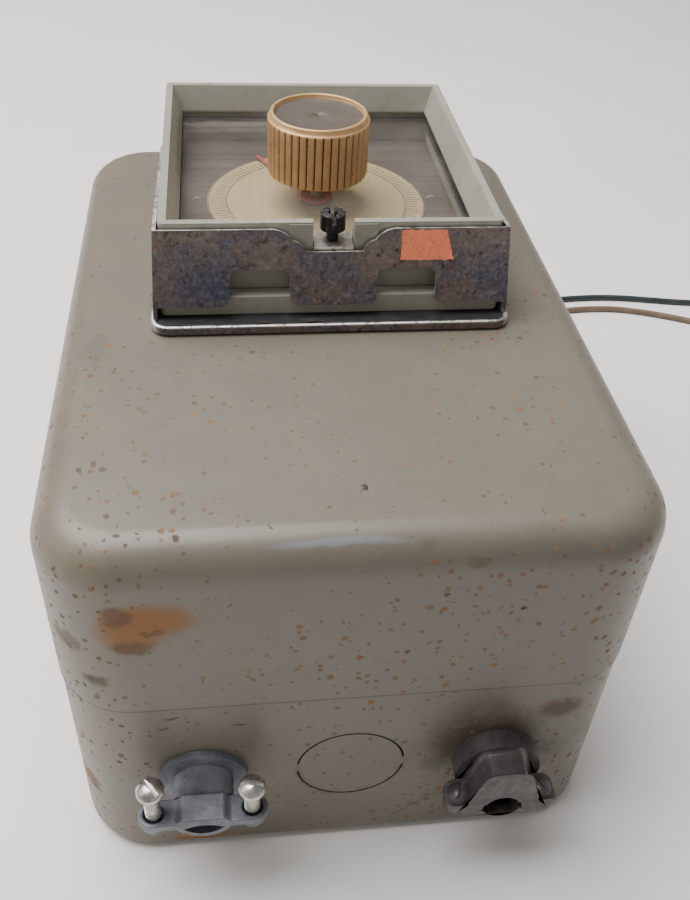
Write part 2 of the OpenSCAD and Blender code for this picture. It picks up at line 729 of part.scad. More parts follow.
// Fluted ring of the knob
module knob() {
    floor_z = 5;
    rim_h = 2;
    color("#a5793c") translate([knob_x, knob_y, knob_z0]) difference() {
        union() {
            cylinder(r = knob_r, h = knob_h - rim_h);
            cylinder(r = knob_r - knob_rim_in, h = knob_h);
        }
        translate([0, 0, knob_h - 2.4]) cylinder(r = knob_cup_r, h = 3);
        translate([0, 0, -1]) cylinder(r = knob_cup_r, h = floor_z + 1);
        translate([0, 0, -1]) cylinder(r = shaft_r, h = knob_h);
        for (i = [0:knob_flutes - 1]) rotate([0, 0, i * 360 / knob_flutes])
            translate([knob_r, 0, -1]) rotate([0, 0, 45])
                cube([0.8, 0.8, 2 * knob_h], center = true);
    }
}

module knob_cap() {
    color("#8f8a84") translate([knob_x, knob_y, knob_z1 - 2.4]) cylinder(r = knob_cup_r - 0.1, h = 1);
}

module knob_shaft() {
    color("#b9b6ac") translate([knob_x, knob_y, 130])
        cylinder(r = shaft_r, h = knob_z1 - 2.6 - 130);
}

// Red hand that shows the set time on the scale
module set_pointer() {
    z = dial_z + 1.2;
    color("#b4382c") translate([knob_x, knob_y, z]) difference() {
        union() {
            cylinder(r = shaft_r + 3, h = 1.2);
            rotate([0, 0, 120]) translate([0, -0.6, 0]) cube([disc_r + 0.6, 1.2, 0.5]);
        }
        translate([0, 0, -1]) cylinder(r = shaft_r, h = 4);
    }
}

module shaft_bushing() {
    color("#b08d4c") translate([knob_x, knob_y, 0]) difference() {
        union() {
            translate([0, 0, front_plate_z - 6]) cylinder(r = 5.4, h = 6);
            translate([0, 0, front_plate_z - 6]) cylinder(r = 4.2, h = 6 + front_plate_t + 1.5);
        }
        translate([0, 0, front_plate_z - 10]) cylinder(r = shaft_r + run, h = 30);
    }
}

// A plain chassis plate
module chassis_plate(z, t, tone) {
    color(tone) translate([timer_x - chassis_w / 2, timer_y - chassis_l / 2, z])
        cube([chassis_w, chassis_l, t]);
}

module front_plate() {
    difference() {
        chassis_plate(front_plate_z, front_plate_t, "#b4b5b4");
        translate([knob_x, knob_y, front_plate_z - 1]) cylinder(r = 4.2, h = 5);
        screw_relief(front_plate_z - 1, 5);
    }
}

module back_plate() {
    difference() {
        chassis_plate(back_plate_z, back_plate_t, "#7a5a38");
        for (c = contacts) translate([c[0] - 0.5, c[1] - 3, back_plate_z - 1]) cube([1, 6, 5]);
    }
}

module chassis_posts() {
    color("#b9b6ac") for (x = [-1, 1], y = [-1, 1])
        translate([timer_x + x * post_dx, timer_y + y * post_dy, 0]) {
            translate([0, 0, back_plate_z + back_plate_t])
                cylinder(r = 3, h = gear_plate_z - back_plate_z - back_plate_t);
            translate([0, 0, gear_plate_z + thin_t])
                cylinder(r = 3, h = front_plate_z - gear_plate_z - thin_t);
        }
}

module arbor_bore(c, z) {
    translate([c[0], c[1], z - 1]) cylinder(r = arbor_r + run, h = 5);
}

module gear_plate() {
    difference() {
        chassis_plate(gear_plate_z, thin_t, "#b4b5b4");
        arbor_bore(wheel_c, gear_plate_z);
        arbor_bore(idler_c, gear_plate_z);
        translate([motor_c[0], motor_c[1], gear_plate_z - 1]) cylinder(r = 4, h = 5);
        translate([lever_c[0], lever_c[1], gear_plate_z - 1]) cylinder(r = lever_r + run, h = 5);
    }
}

// Upper bearing plate of the gear train, on four pillars clear of the wheels
module gear_bridge() {
    pillar_dx = 32;
    y0 = wheel_c[1] - 18;
    y1 = idler_c[1] + 10;
    color("#b4b5b4") difference() {
        union() {
            translate([timer_x - pillar_dx - 4, y0 - 4, gear_bridge_z])
                cube([2 * pillar_dx + 8, y1 - y0 + 8, thin_t]);
            for (x = [-1, 1], y = [y0, y1]) translate([timer_x + x * pillar_dx, y, gear_plate_z + thin_t])
                cylinder(r = 2.5, h = gear_bridge_z - gear_plate_z - thin_t + 0.1);
        }
        arbor_bore(wheel_c, gear_bridge_z);
        arbor_bore(idler_c, gear_bridge_z);
    }
}

module contact_blades() {
    color("#c8a860") for (c = contacts) translate([c[0] - 0.5, c[1] - 3, case_floor_z + 8])
        cube([1, 6, back_plate_z + back_plate_t + 3 - case_floor_z - 8]);
}

module motor() {
    h = 24;
    color("#9a9a96") translate([motor_c[0], motor_c[1], gear_plate_z - h]) {
        difference() {
            cylinder(r = 20, h = h);
            translate([0, 0, 4]) cylinder(r = 1.5 + run, h = h);
        }
    }
}

// Straight-sided teeth with generous backlash
module gear_outline(n) {
    rp = gear_m * n / 2;
    tip = rp + 0.8 * gear_m;
    root = rp - 1.15 * gear_m;
    union() {
        circle(root);
        for (i = [0:n - 1]) rotate(i * 360 / n)
            polygon([[root - 0.3, -0.62 * gear_m], [tip, -0.26 * gear_m], [tip, 0.26 * gear_m],
                [root - 0.3, 0.62 * gear_m]]);
    }
}

module motor_pinion() {
    color("#c9a04e") translate([motor_c[0], motor_c[1], 0]) {
        translate([0, 0, mesh_high_z]) linear_extrude(mesh_t)
            rotate(180 / pinion_n) gear_outline(pinion_n);
        translate([0, 0, gear_plate_z - 12]) cylinder(r = 1.5, h = mesh_high_z + mesh_t - gear_plate_z + 12);
    }
}

module idler_gear() {
    color("#c9a04e") translate([idler_c[0], idler_c[1], 0]) {
        translate([0, 0, mesh_low_z]) linear_extrude(mesh_high_z - mesh_low_z)
            rotate(90) gear_outline(idler_small_n);
        translate([0, 0, mesh_high_z]) linear_extrude(mesh_t - 0.5)
            gear_outline(idler_large_n);
        translate([0, 0, gear_plate_z - 1.5]) cylinder(r = arbor_r, h = gear_bridge_z + thin_t - gear_plate_z + 3);
    }
}

module timing_wheel() {
    color("#c9a04e") translate([wheel_c[0], wheel_c[1], 0]) difference() {
        union() {
            translate([0, 0, mesh_low_z]) linear_extrude(mesh_t) rotate(90) gear_outline(wheel_n);
            translate([0, 0, mesh_low_z]) cylinder(r = 5, h = 7);
            translate([0, 0, gear_plate_z - 1.5])
                cylinder(r = arbor_r, h = gear_bridge_z + thin_t - gear_plate_z + 3);
            // trip pin
            translate([14, -10, mesh_low_z - 2.2]) cylinder(r = 1.2, h = 3);
        }
        for (a = [0:72:359]) rotate([0, 0, a + 60]) translate([12.5, 0, mesh_low_z - 1])
            cylinder(r = 3.6, h = mesh_t + 2);
    }
}

// Flat spiral that turns the wheel back to zero
module return_spring() {
    turns = 4;
    r0 = 3.2;
    r1 = 10;
    steps = 96;
    function rad(i) = r0 + (r1 - r0) * i / steps;
    function pt(i, o) = (rad(i) + o) * [cos(360 * turns * i / steps), sin(360 * turns * i / steps)];
    color("#5a6270") translate([wheel_c[0], wheel_c[1], gear_plate_z + thin_t + 0.3])
        linear_extrude(1.6) polygon([for (i = [0:steps]) pt(i, 0.15), for (i = [steps:-1:0]) pt(i, -0.15)]);
}

module clutch_coil() {
    color("#7d3b2a") translate([timer_x + 28, idler_c[1], gear_plate_z - 26]) {
        cylinder(r = 11, h = 2);
        translate([0, 0, 2]) cylinder(r = 9.5, h = 20);
        translate([0, 0, 22]) cylinder(r = 11, h = 4);
    }
}

module trip_lever() {
    z = gear_plate_z + thin_t + touch;
    color("#8f9296") translate([lever_c[0], lever_c[1], 0]) {
        translate([0, 0, z]) cylinder(r = 3.5, h = 3);
        translate([-60, -2, z]) cube([60, 4, 1.5]);
        translate([0, 0, gear_plate_z - 3]) cylinder(r = lever_r, h = 6);
    }
}

module snap_switches() {
    color("#2a2a2a") for (x = [-26, 10]) translate([timer_x + x - 10, timer_y - 46, gear_plate_z - 16.5])
        cube([20, 6.4, 16]);
}

// Ring with a bore, standing along -Y from y0 to y1
module ring_y(r_out, r_in, y0, y1) {
    translate([0, y1, 0]) rotate([90, 0, 0]) difference() {
        cylinder(r = r_out, h = y1 - y0);
        translate([0, 0, -1]) cylinder(r = r_in, h = y1 - y0 + 2);
    }
}

// The half of a round pipe wall below the height z1, from y0 to y1
module trough(r_out, r_in, y0, y1, z1) {
    difference() {
        translate([0, y1, 0]) rotate([90, 0, 0]) cylinder(r = r_out, h = y1 - y0);
        translate([0, y1 + 1, 0]) rotate([90, 0, 0]) cylinder(r = r_in, h = y1 - y0 + 2);
        translate([-50, y0 - 1, z1]) cube([100, y1 - y0 + 2, 100]);
    }
}

strap_y = -12.5;    // middle of the left strap, from the wall's face
left_seat = -1.8;   // underside of the left strap, from the clamp's axis
left_strap_t = 3.2;
left_backed = [12.4, 10];   // how far each left screw stands out of the strap
left_ear_t = 2.2;
module left_clamp_body() {
    front = strap_y - strap_w / 2 + 1.6;
    color("#6e7480") translate(left_c) difference() {
        union() {
            ring_y(left_flange_r, throat_r, -2.2, 0);
            ring_y(9.4, throat_r, strap_y + strap_w / 2 + 0.3, -2.1);
            ring_y(thread_r, throat_r, -0.1, 12);
            trough(9.4, throat_r - 0.1, front, strap_y + strap_w / 2 + 0.4, left_seat - touch);
            for (s = [-1, 1]) difference() {
                translate([s * left_pitch / 2, strap_y, left_seat - touch - left_ear_t])
                    cylinder(r = strap_w / 2 - 0.4, h = left_ear_t);
                translate([0, 50, 0]) rotate([90, 0, 0]) cylinder(r = 9, h = 100);
            }
            for (s = [-1, 1]) translate([s > 0 ? 8.2 : -13.2, strap_y - 2.5, left_seat - touch - left_ear_t])
                cube([5, 5, left_ear_t]);
        }
        for (s = [-1, 1]) translate([s * left_pitch / 2, strap_y, left_seat - 12])
            cylinder(r = clamp_screw_r + run, h = 20);
    }
}

// Bar outline with round ends, centred
module bar(l, w) {
    union() {
        square([l - w, w], center = true);
        for (s = [-1, 1]) translate([s * (l - w) / 2, 0]) circle(d = w);
    }
}

module left_clamp_strap() {
    hump_w = 14;
    hump_h = 1.8;
    color("#6e7480") translate(left_c + [0, strap_y, left_seat]) difference() {
        union() {
            linear_extrude(left_strap_t) bar(left_strap_l, strap_w);
            translate([0, strap_w / 2, 0]) rotate([90, 0, 0]) linear_extrude(strap_w)
                polygon([[-hump_w / 2 - 1.5, 0.5], [hump_w / 2 + 1.5, 0.5], [hump_w / 2 + 1.2, left_strap_t],
                    [hump_w / 2 - 0.6, left_strap_t + hump_h], [-hump_w / 2 + 0.6, left_strap_t + hump_h],
                    [-hump_w / 2 - 1.2, left_strap_t]]);
        }
        // arch over the cable
        translate([0, strap_w, -throat_r * 1.35]) rotate([90, 0, 0])
            cylinder(r = throat_r * 1.35 + 1.4, h = 2 * strap_w);
        for (s = [-1, 1]) translate([s * left_pitch / 2, 0, -1]) cylinder(r = 3.1, h = 6);
    }
}

module left_clamp_screws() {
    color("#b6b4aa") for (s = [-1, 1])
        let (backed = left_backed[s > 0 ? 1 : 0])
        translate(left_c + [s * left_pitch / 2, strap_y, left_seat + left_strap_t + backed])
            rotate([0, 0, s > 0 ? 82 : 40])
            slotted_screw(clamp_head_r, 3.6, clamp_screw_r, backed + left_strap_t + left_ear_t + 0.5, 1.2, 1.5);
}

// Thin locknut with lobes, against the inside of the wall
module locknut(c) {
    color("#8c8f92") translate(c + [0, sheet_t + touch, 0]) ring_y_lobed();
}

module ring_y_lobed() {
    difference() {
        union() {
            ring_y(thread_r + 3, thread_r + 0.02, 0, locknut_t);
            for (a = [0:60:359]) rotate([0, a, 0]) translate([thread_r + 1.6, 0, -1.8])
                cube([2.6, locknut_t, 3.6]);
        }
        translate([0, 50, 0]) rotate([90, 0, 0]) cylinder(r = thread_r + 0.02, h = 100);
    }
}

module left_locknut() {
    locknut(left_c);
}

right_y = -11.5;
right_w = 9.4;
right_collar_l = 6.5;
right_seat = -6.4;
right_t = 3;
right_hump_top = 12.6;
module right_clamp_body() {
    front = right_y - right_w / 2;
    color("#3a3836") translate(right_c) difference() {
        union() {
            ring_y(right_collar_r, throat_r, -right_collar_l, 0);
            ring_y(thread_r, throat_r, -0.1, 12);
            translate([0, 0, -3.6]) trough(8.8, throat_r - 1.2, front, -right_collar_l + 0.1, 3.6 + right_seat);
            translate([0, right_y, right_seat - 6]) difference() {
                linear_extrude(6) bar(right_strap_l - 1, right_w);
                translate([0, 20, 6 - right_seat - 3.6]) rotate([90, 0, 0]) cylinder(r = throat_r - 1.2, h = 40);
            }
        }
        for (s = [-1, 1]) translate([s * right_pitch / 2, right_y, right_seat - 12])
            cylinder(r = clamp_screw_r + run, h = 20);
    }
}

module right_clamp_strap() {
    hump_w = 15.7;
    round_r = 4;
    h = right_hump_top - right_seat;
    color("#403d3a") translate(right_c + [0, right_y, right_seat]) difference() {
        union() {
            linear_extrude(right_t) bar(right_strap_l, right_w);
            translate([0, right_w / 2, 0]) rotate([90, 0, 0]) linear_extrude(right_w) union() {
                translate([-hump_w / 2, 0]) square([hump_w, h - round_r]);
                translate([-hump_w / 2 + round_r, 0]) square([hump_w - 2 * round_r, h]);
                for (s = [-1, 1]) translate([s * (hump_w / 2 - round_r), h - round_r]) circle(round_r);
            }
        }
        translate([0, 20, -right_seat - 3.6]) rotate([90, 0, 0]) cylinder(r = throat_r - 1.2, h = 40);
        for (s = [-1, 1]) translate([s * right_pitch / 2, 0, -1]) cylinder(r = clamp_screw_r + 0.5, h = 6);
    }
}

module right_clamp_screws() {
    color("#45423f") for (s = [-1, 1])
        translate(right_c + [s * right_pitch / 2, right_y, right_seat + right_t + touch])
            rotate([0, 0, s * 25])
            slotted_screw(clamp_head_r - 0.1, 2.8, clamp_screw_r, right_t + 6, 1.1, 1.2);
}

module right_locknut() {
    locknut(right_c);
}

// Two-hole rubber bushing in the far wall
module lead_bushing() {
    color("#1a1a1a") difference() {
        union() {
            translate([ko_pitch, far_y - sheet_t - 3, ko_z]) rotate([-90, 0, 0])
                cylinder(r = clamp_hole_r - 0.05, h = lead_exit_y - far_y + sheet_t + 3);
            translate([ko_pitch, far_y + touch, ko_z]) rotate([-90, 0, 0])
                cylinder(r = clamp_hole_r + 2, h = 2.5);
        }
        for (r = [black_route, tan_route]) translate([r[0][0], far_y - 20, lead_z]) rotate([-90, 0, 0])
            cylinder(r = lead_d / 2 + 0.1, h = 60);
    }
}

module inner_leads() {
    color("#2c2c2c") tube(curve(black_inner, 2), lead_d / 2, 8);
    color("#8a6a4a") tube(curve(tan_inner, 2), lead_d / 2, 8);
}

module black_lead() {
    color("#23272a") tube(curve(black_route, 2), lead_d / 2, 8);
}

module tan_lead() {
    color("#8a6a4a") tube(curve(tan_route, 2), lead_d / 2, 8);
}

// Stripped conductor at the end of each lead
module lead_ends() {
    color("#b87346") for (r = [black_route, tan_route]) {
        q = curve(r, 2);
        e = q[len(q) - 1];
        d = unit(e - q[len(q) - 2]);
        tube([e, e + 10 * d], strand_d / 2, 8);
    }
}

back_box();
cover_brackets();
cover();
cover_screws();
panel_gasket();
timer_frame();
frame_nuts();
timer_gasket();
timer_collar();
label_remnant();
timer_case();
contact_block();
contact_springs();
terminal_screws();
lock_nut();
bezel();
window();
window_gasket();
dial_plate();
scale_disc();
latch_bracket();
captive_screw();
knob();
knob_cap();
knob_shaft();
set_pointer();
shaft_bushing();
front_plate();
back_plate();
chassis_posts();
gear_plate();
gear_bridge();
contact_blades();
motor();
motor_pinion();
idler_gear();
timing_wheel();
return_spring();
clutch_coil();
trip_lever();
snap_switches();
left_clamp_body();
left_clamp_strap();
left_clamp_screws();
left_locknut();
right_clamp_body();
right_clamp_strap();
right_clamp_screws();
right_locknut();
lead_bushing();
inner_leads();
black_lead();
tan_lead();
lead_ends();
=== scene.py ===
"""Dial timer control box: the finished look of every piece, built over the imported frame."""
import math

import bmesh
import bpy
from bpy.props import FloatProperty, FloatVectorProperty, IntProperty, PointerProperty
from mathutils import Matrix, Vector, noise


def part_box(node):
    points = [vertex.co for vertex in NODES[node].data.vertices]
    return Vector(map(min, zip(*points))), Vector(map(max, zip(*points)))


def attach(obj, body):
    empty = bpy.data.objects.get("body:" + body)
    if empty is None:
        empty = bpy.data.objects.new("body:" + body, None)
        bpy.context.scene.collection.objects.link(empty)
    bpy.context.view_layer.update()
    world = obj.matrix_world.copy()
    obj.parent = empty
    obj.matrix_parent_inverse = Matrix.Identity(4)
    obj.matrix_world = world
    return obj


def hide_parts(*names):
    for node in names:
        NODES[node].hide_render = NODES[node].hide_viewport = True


bl_info = {
    "name": "Dial timer control box",
    "version": (1, 0, 0),
    "blender": (4, 5, 0),
    "location": "3D View > Sidebar > Timer box",
    "description": "Builds the pieces and finishes of a dial timer control box over its frame",
    "category": "Object",
}

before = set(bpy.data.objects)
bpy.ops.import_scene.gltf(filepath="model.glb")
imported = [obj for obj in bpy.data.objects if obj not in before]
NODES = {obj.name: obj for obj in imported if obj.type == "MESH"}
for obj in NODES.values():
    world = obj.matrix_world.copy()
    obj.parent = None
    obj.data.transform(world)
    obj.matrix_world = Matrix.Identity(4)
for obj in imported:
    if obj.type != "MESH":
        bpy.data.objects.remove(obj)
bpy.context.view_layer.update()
MM = 0.001
NEAR_WALL_Y = -124 * MM
PLATE_LEAN = math.radians(12.4)
LEAD_DIAMETER = 3.5 * MM
STRIPPED_LENGTH = 10 * MM
STRAND_DIAMETER = 1.8 * MM
ROUTE_STEPS = 4
BLACK_ROUTE = (
    (45, 131.5, 44.6), (45, 134.5, 44.6), (45, 138, 44.6), (45.2, 146, 43), (46.5, 154, 35),
    (49, 159, 23), (54, 164, 11), (63, 171, 3.4), (75, 179, 1.75), (91, 188, 1.75),
    (109, 197, 1.75), (128, 205, 1.75), (146, 211, 1.75), (163, 215, 1.75), (180, 217, 1.75),
    (198, 218, 1.75), (216, 217, 1.75), (234, 214, 1.75), (251, 211, 1.75), (268, 209, 1.75),
    (282, 208, 1.75))
TAN_ROUTE = (
    (50, 131.5, 44.6), (50, 134.5, 44.6), (50, 138, 44.6), (50.6, 145, 43), (53, 152, 35),
    (56, 156, 23), (62, 160, 11), (71, 165, 3.4), (83, 171, 1.75), (98, 178, 1.75),
    (114, 185, 1.75), (130, 192, 1.75), (146, 197.5, 1.75), (162, 201.5, 1.75), (178, 204, 1.75),
    (194, 205, 1.75), (209, 204, 1.75), (223, 200.5, 1.75), (237, 195.5, 1.75), (252, 189, 1.75),
    (266, 182, 1.75))


def middle_of(node):
    """The middle of a node's box."""
    low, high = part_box(node)
    return (low + high) / 2


# ---------------------------------------------------------------- settings

def colour(name, description, default):
    return FloatVectorProperty(name=name, description=description, subtype="COLOR", size=3,
                               min=0.0, max=1.0, default=default)


def length(name, description, default):
    return FloatProperty(name=name, description=description, default=default, min=0.0,
                         unit="LENGTH", subtype="DISTANCE", precision=5)


class TimerColours(bpy.types.PropertyGroup):
    """Main colours of the finishes"""
    paint: colour("Enclosure paint", "Putty-grey enamel of the box and cover", (0.148, 0.130, 0.100))
    rust: colour("Rust", "Orange-brown rust", (0.225, 0.105, 0.035))
    dark_rust: colour("Old rust", "Dark brown cores of old rust", (0.07, 0.035, 0.018))
    bezel: colour("Bezel", "Grey-green moulding", (0.29, 0.283, 0.232))
    dial: colour("Dial plate", "Taupe plate behind the window", (0.108, 0.088, 0.073))
    disc: colour("Scale disc", "Cream printed disc", (0.46, 0.36, 0.195))
    knob: colour("Knob", "Fluted tan ring", (0.62, 0.37, 0.17))
    label: colour("Label", "Torn orange paper", (0.95, 0.26, 0.13))
    plate: colour("Tarnished plate", "Blue-violet tarnish of the timer frame", (0.13, 0.12, 0.15))
    zinc: colour("Zinc clamp", "Blue-grey die-cast zinc", (0.17, 0.176, 0.20))
    dark_zinc: colour("Oxidised clamp", "Blackened die-cast zinc", (0.092, 0.08, 0.078))
    floor: colour("Floor", "Plain pale floor", (0.86, 0.835, 0.805))


class TimerSizes(bpy.types.PropertyGroup):
    """Sizes of the details"""
    sheet_softness: length("Sheet edge", "Rounding of cut sheet edges", 0.25 * MM)
    moulded_softness: length("Moulded edge", "Rounding of moulded edges", 0.45 * MM)
    cast_softness: length("Cast edge", "Rounding of cast edges", 0.55 * MM)
    fine_softness: length("Fine edge", "Rounding of small parts", 0.12 * MM)
    flutes: IntProperty(name="Flutes", description="Grooves round the knob", default=40, min=8)
    flute_depth: length("Flute depth", "Depth of the knob's grooves", 0.75 * MM)
    ticks: IntProperty(name="Ticks", description="Divisions on the scale", default=120, min=12)
    print_thickness: length("Print", "Height of the printed lines", 0.04 * MM)
    thread_pitch: length("Thread pitch", "Pitch of the clamp screws", 1.05 * MM)


class TimerView(bpy.types.PropertyGroup):
    """Where the camera stands"""
    place: FloatVectorProperty(name="Camera", description="Camera position", size=3,
                               subtype="TRANSLATION", default=(-0.0345, -0.2909, 0.32535))
    heading: FloatProperty(name="Heading", description="Turn to the right of straight ahead",
                           subtype="ANGLE", default=0.1545)
    dip: FloatProperty(name="Dip", description="How far the camera looks down",
                       subtype="ANGLE", default=0.7125)
    roll: FloatProperty(name="Roll", description="Turn about the line of sight",
                        subtype="ANGLE", default=0.0645)
    lens: FloatProperty(name="Lens", description="Focal length in millimetres", default=38.83)


# ---------------------------------------------------------------- node helpers

def add(tree, kind, inputs=None, **settings):
    """A new node with its settings and inputs; an input given as a socket is linked."""
    node = tree.nodes.new(kind)
    for key, value in settings.items():
        setattr(node, key, value)
    for key, value in (inputs or {}).items():
        if isinstance(value, bpy.types.NodeSocket):
            tree.links.new(value, node.inputs[key])
        else:
            node.inputs[key].default_value = value
    return node


def maths(tree, operation, a, b=0.0, clamp=False):
    return add(tree, "ShaderNodeMath", {0: a, 1: b}, operation=operation, use_clamp=clamp).outputs[0]


def vector_maths(tree, operation, a, b):
    node = add(tree, "ShaderNodeVectorMath", {0: a, 1: b}, operation=operation)
    return node.outputs["Value" if operation in ("LENGTH", "DOT_PRODUCT") else "Vector"]


def mix(tree, mask, a, b, blend="MIX"):
    """Colour a where the mask is 0 and b where it is 1."""
    node = add(tree, "ShaderNodeMix", data_type="RGBA", blend_type=blend)
    for index, value in ((0, mask), (6, a), (7, b)):
        if isinstance(value, bpy.types.NodeSocket):
            tree.links.new(value, node.inputs[index])
        elif index == 0:
            node.inputs[index].default_value = value
        else:
            node.inputs[index].default_value = (*value[:3], 1.0)
    return node.outputs[2]


def between(tree, value, low, high, to_low=0.0, to_high=1.0):
    """Smooth step of value from low to high."""
    return add(tree, "ShaderNodeMapRange",
               {"Value": value, "From Min": low, "From Max": high, "To Min": to_low, "To Max": to_high},
               interpolation_type="SMOOTHSTEP").outputs[0]


def cloud(tree, place, scale, detail=4.0, roughness=0.55):
    """Noise from 0 to 1."""
    return add(tree, "ShaderNodeTexNoise",
               {"Vector": place, "Scale": scale, "Detail": detail, "Roughness": roughness}).outputs[0]


def stretched(tree, place, scale, turn=(0.0, 0.0, 0.0)):
    return add(tree, "ShaderNodeMapping", {"Vector": place, "Scale": scale, "Rotation": turn}).outputs[0]


def shader_group(name, inputs, outputs, build):
    """A node group whose results come from build(tree, inputs)."""
    tree = bpy.data.node_groups.new(name, "ShaderNodeTree")
    for label, kind, default in inputs:
        socket = tree.interface.new_socket(label, in_out="INPUT", socket_type=kind)
        if default is not None:
            socket.default_value = default
    for label, kind in outputs:
        tree.interface.new_socket(label, in_out="OUTPUT", socket_type=kind)
    source = tree.nodes.new("NodeGroupInput").outputs
    sink = tree.nodes.new("NodeGroupOutput")
    for label, socket in build(tree, source).items():
        tree.links.new(socket, sink.inputs[label])
    return tree


def flecks_group():
    """Scattered ragged spots of random size, denser in some places than in others."""
    def build(tree, given):
        wander = add(tree, "ShaderNodeTexNoise", {"Vector": given["Vector"], "Scale": 900.0}).outputs[1]
        wander = vector_maths(tree, "SUBTRACT", wander, (0.5, 0.5, 0.5))
        shift = add(tree, "ShaderNodeVectorMath", {0: wander, "Scale": given["Ragged"]},
                    operation="SCALE").outputs[0]
        place = vector_maths(tree, "ADD", given["Vector"], shift)
        cells = add(tree, "ShaderNodeTexVoronoi", {"Vector": place, "Scale": given["Scale"]})
        chance = add(tree, "ShaderNodeSeparateColor", {0: cells.outputs["Color"]})
        crowd = between(tree, cloud(tree, given["Vector"], 17.0, 3.0), 0.38, 0.60, 0.55, 1.0)
        size = maths(tree, "POWER", chance.outputs[0], 1.6)
        radius = maths(tree, "MULTIPLY", maths(tree, "MULTIPLY", size, given["Amount"]), crowd)
        ratio = maths(tree, "DIVIDE", cells.outputs["Distance"], maths(tree, "ADD", radius, 0.001))
        return {"Mask": between(tree, ratio, 1.0, 0.68), "Tone": chance.outputs[1]}
    return shader_group(
        "rust_flecks",
        [("Vector", "NodeSocketVector", None), ("Scale", "NodeSocketFloat", 120.0),
         ("Amount", "NodeSocketFloat", 0.12), ("Ragged", "NodeSocketFloat", 0.0008)],
        [("Mask", "NodeSocketFloat"), ("Tone", "NodeSocketFloat")], build)


def blot_group():
    """A soft patch round a centre."""
    def build(tree, given):
        place = add(tree, "ShaderNodeMapping",
                    {"Vector": given["Vector"], "Location": given["Centre"], "Scale": given["Size"]},
                    vector_type="TEXTURE").outputs[0]
        reach = vector_maths(tree, "LENGTH", place, (0, 0, 0))
        edge = maths(tree, "SUBTRACT", 1.0, given["Softness"])
        return {"Mask": between(tree, reach, 1.0, edge)}
    return shader_group(
        "blot",
        [("Vector", "NodeSocketVector", None), ("Centre", "NodeSocketVector", None),
         ("Size", "NodeSocketVector", (0.01, 0.01, 0.01)), ("Softness", "NodeSocketFloat", 0.5)],
        [("Mask", "NodeSocketFloat")], build)


def scratches_group():
    """Fine straight scratches in two directions."""
    def build(tree, given):
        masks = []
        for turn, seed in ((0.5, 3.1), (-0.9, 7.7)):
            place = stretched(tree, given["Vector"], (28.0, 1400.0, 28.0), (0.2 * seed, 0.1, turn))
            lines = cloud(tree, place, 1.0, 2.0)
            masks.append(between(tree, lines, 0.70, 0.76))
        lines = maths(tree, "MAXIMUM", masks[0], masks[1])
        patch = between(tree, cloud(tree, given["Vector"], 60.0, 2.0), 0.45, 0.6)
        amount = maths(tree, "MULTIPLY", lines, patch)
        return {"Mask": maths(tree, "MULTIPLY", amount, given["Amount"])}
    return shader_group(
        "fine_scratches", [("Vector", "NodeSocketVector", None), ("Amount", "NodeSocketFloat", 1.0)],
        [("Mask", "NodeSocketFloat")], build)


def grain_group():
    """Fine surface grain on top of a slow waviness, as one height."""
    def build(tree, given):
        fine = cloud(tree, given["Vector"], given["Grain"], 3.0)
        slow = cloud(tree, given["Vector"], given["Wave"], 2.0)
        fine = maths(tree, "MULTIPLY", fine, given["Fine amount"])
        return {"Height": maths(tree, "ADD", fine, maths(tree, "MULTIPLY", slow, given["Wave amount"]))}
    return shader_group(
        "surface_grain",
        [("Vector", "NodeSocketVector", None), ("Grain", "NodeSocketFloat", 1500.0),
         ("Wave", "NodeSocketFloat", 30.0), ("Fine amount", "NodeSocketFloat", 0.3),
         ("Wave amount", "NodeSocketFloat", 1.0)],
        [("Height", "NodeSocketFloat")], build)


GROUP_MAKERS = {"rust_flecks": flecks_group, "blot": blot_group, "fine_scratches": scratches_group,
                "surface_grain": grain_group}


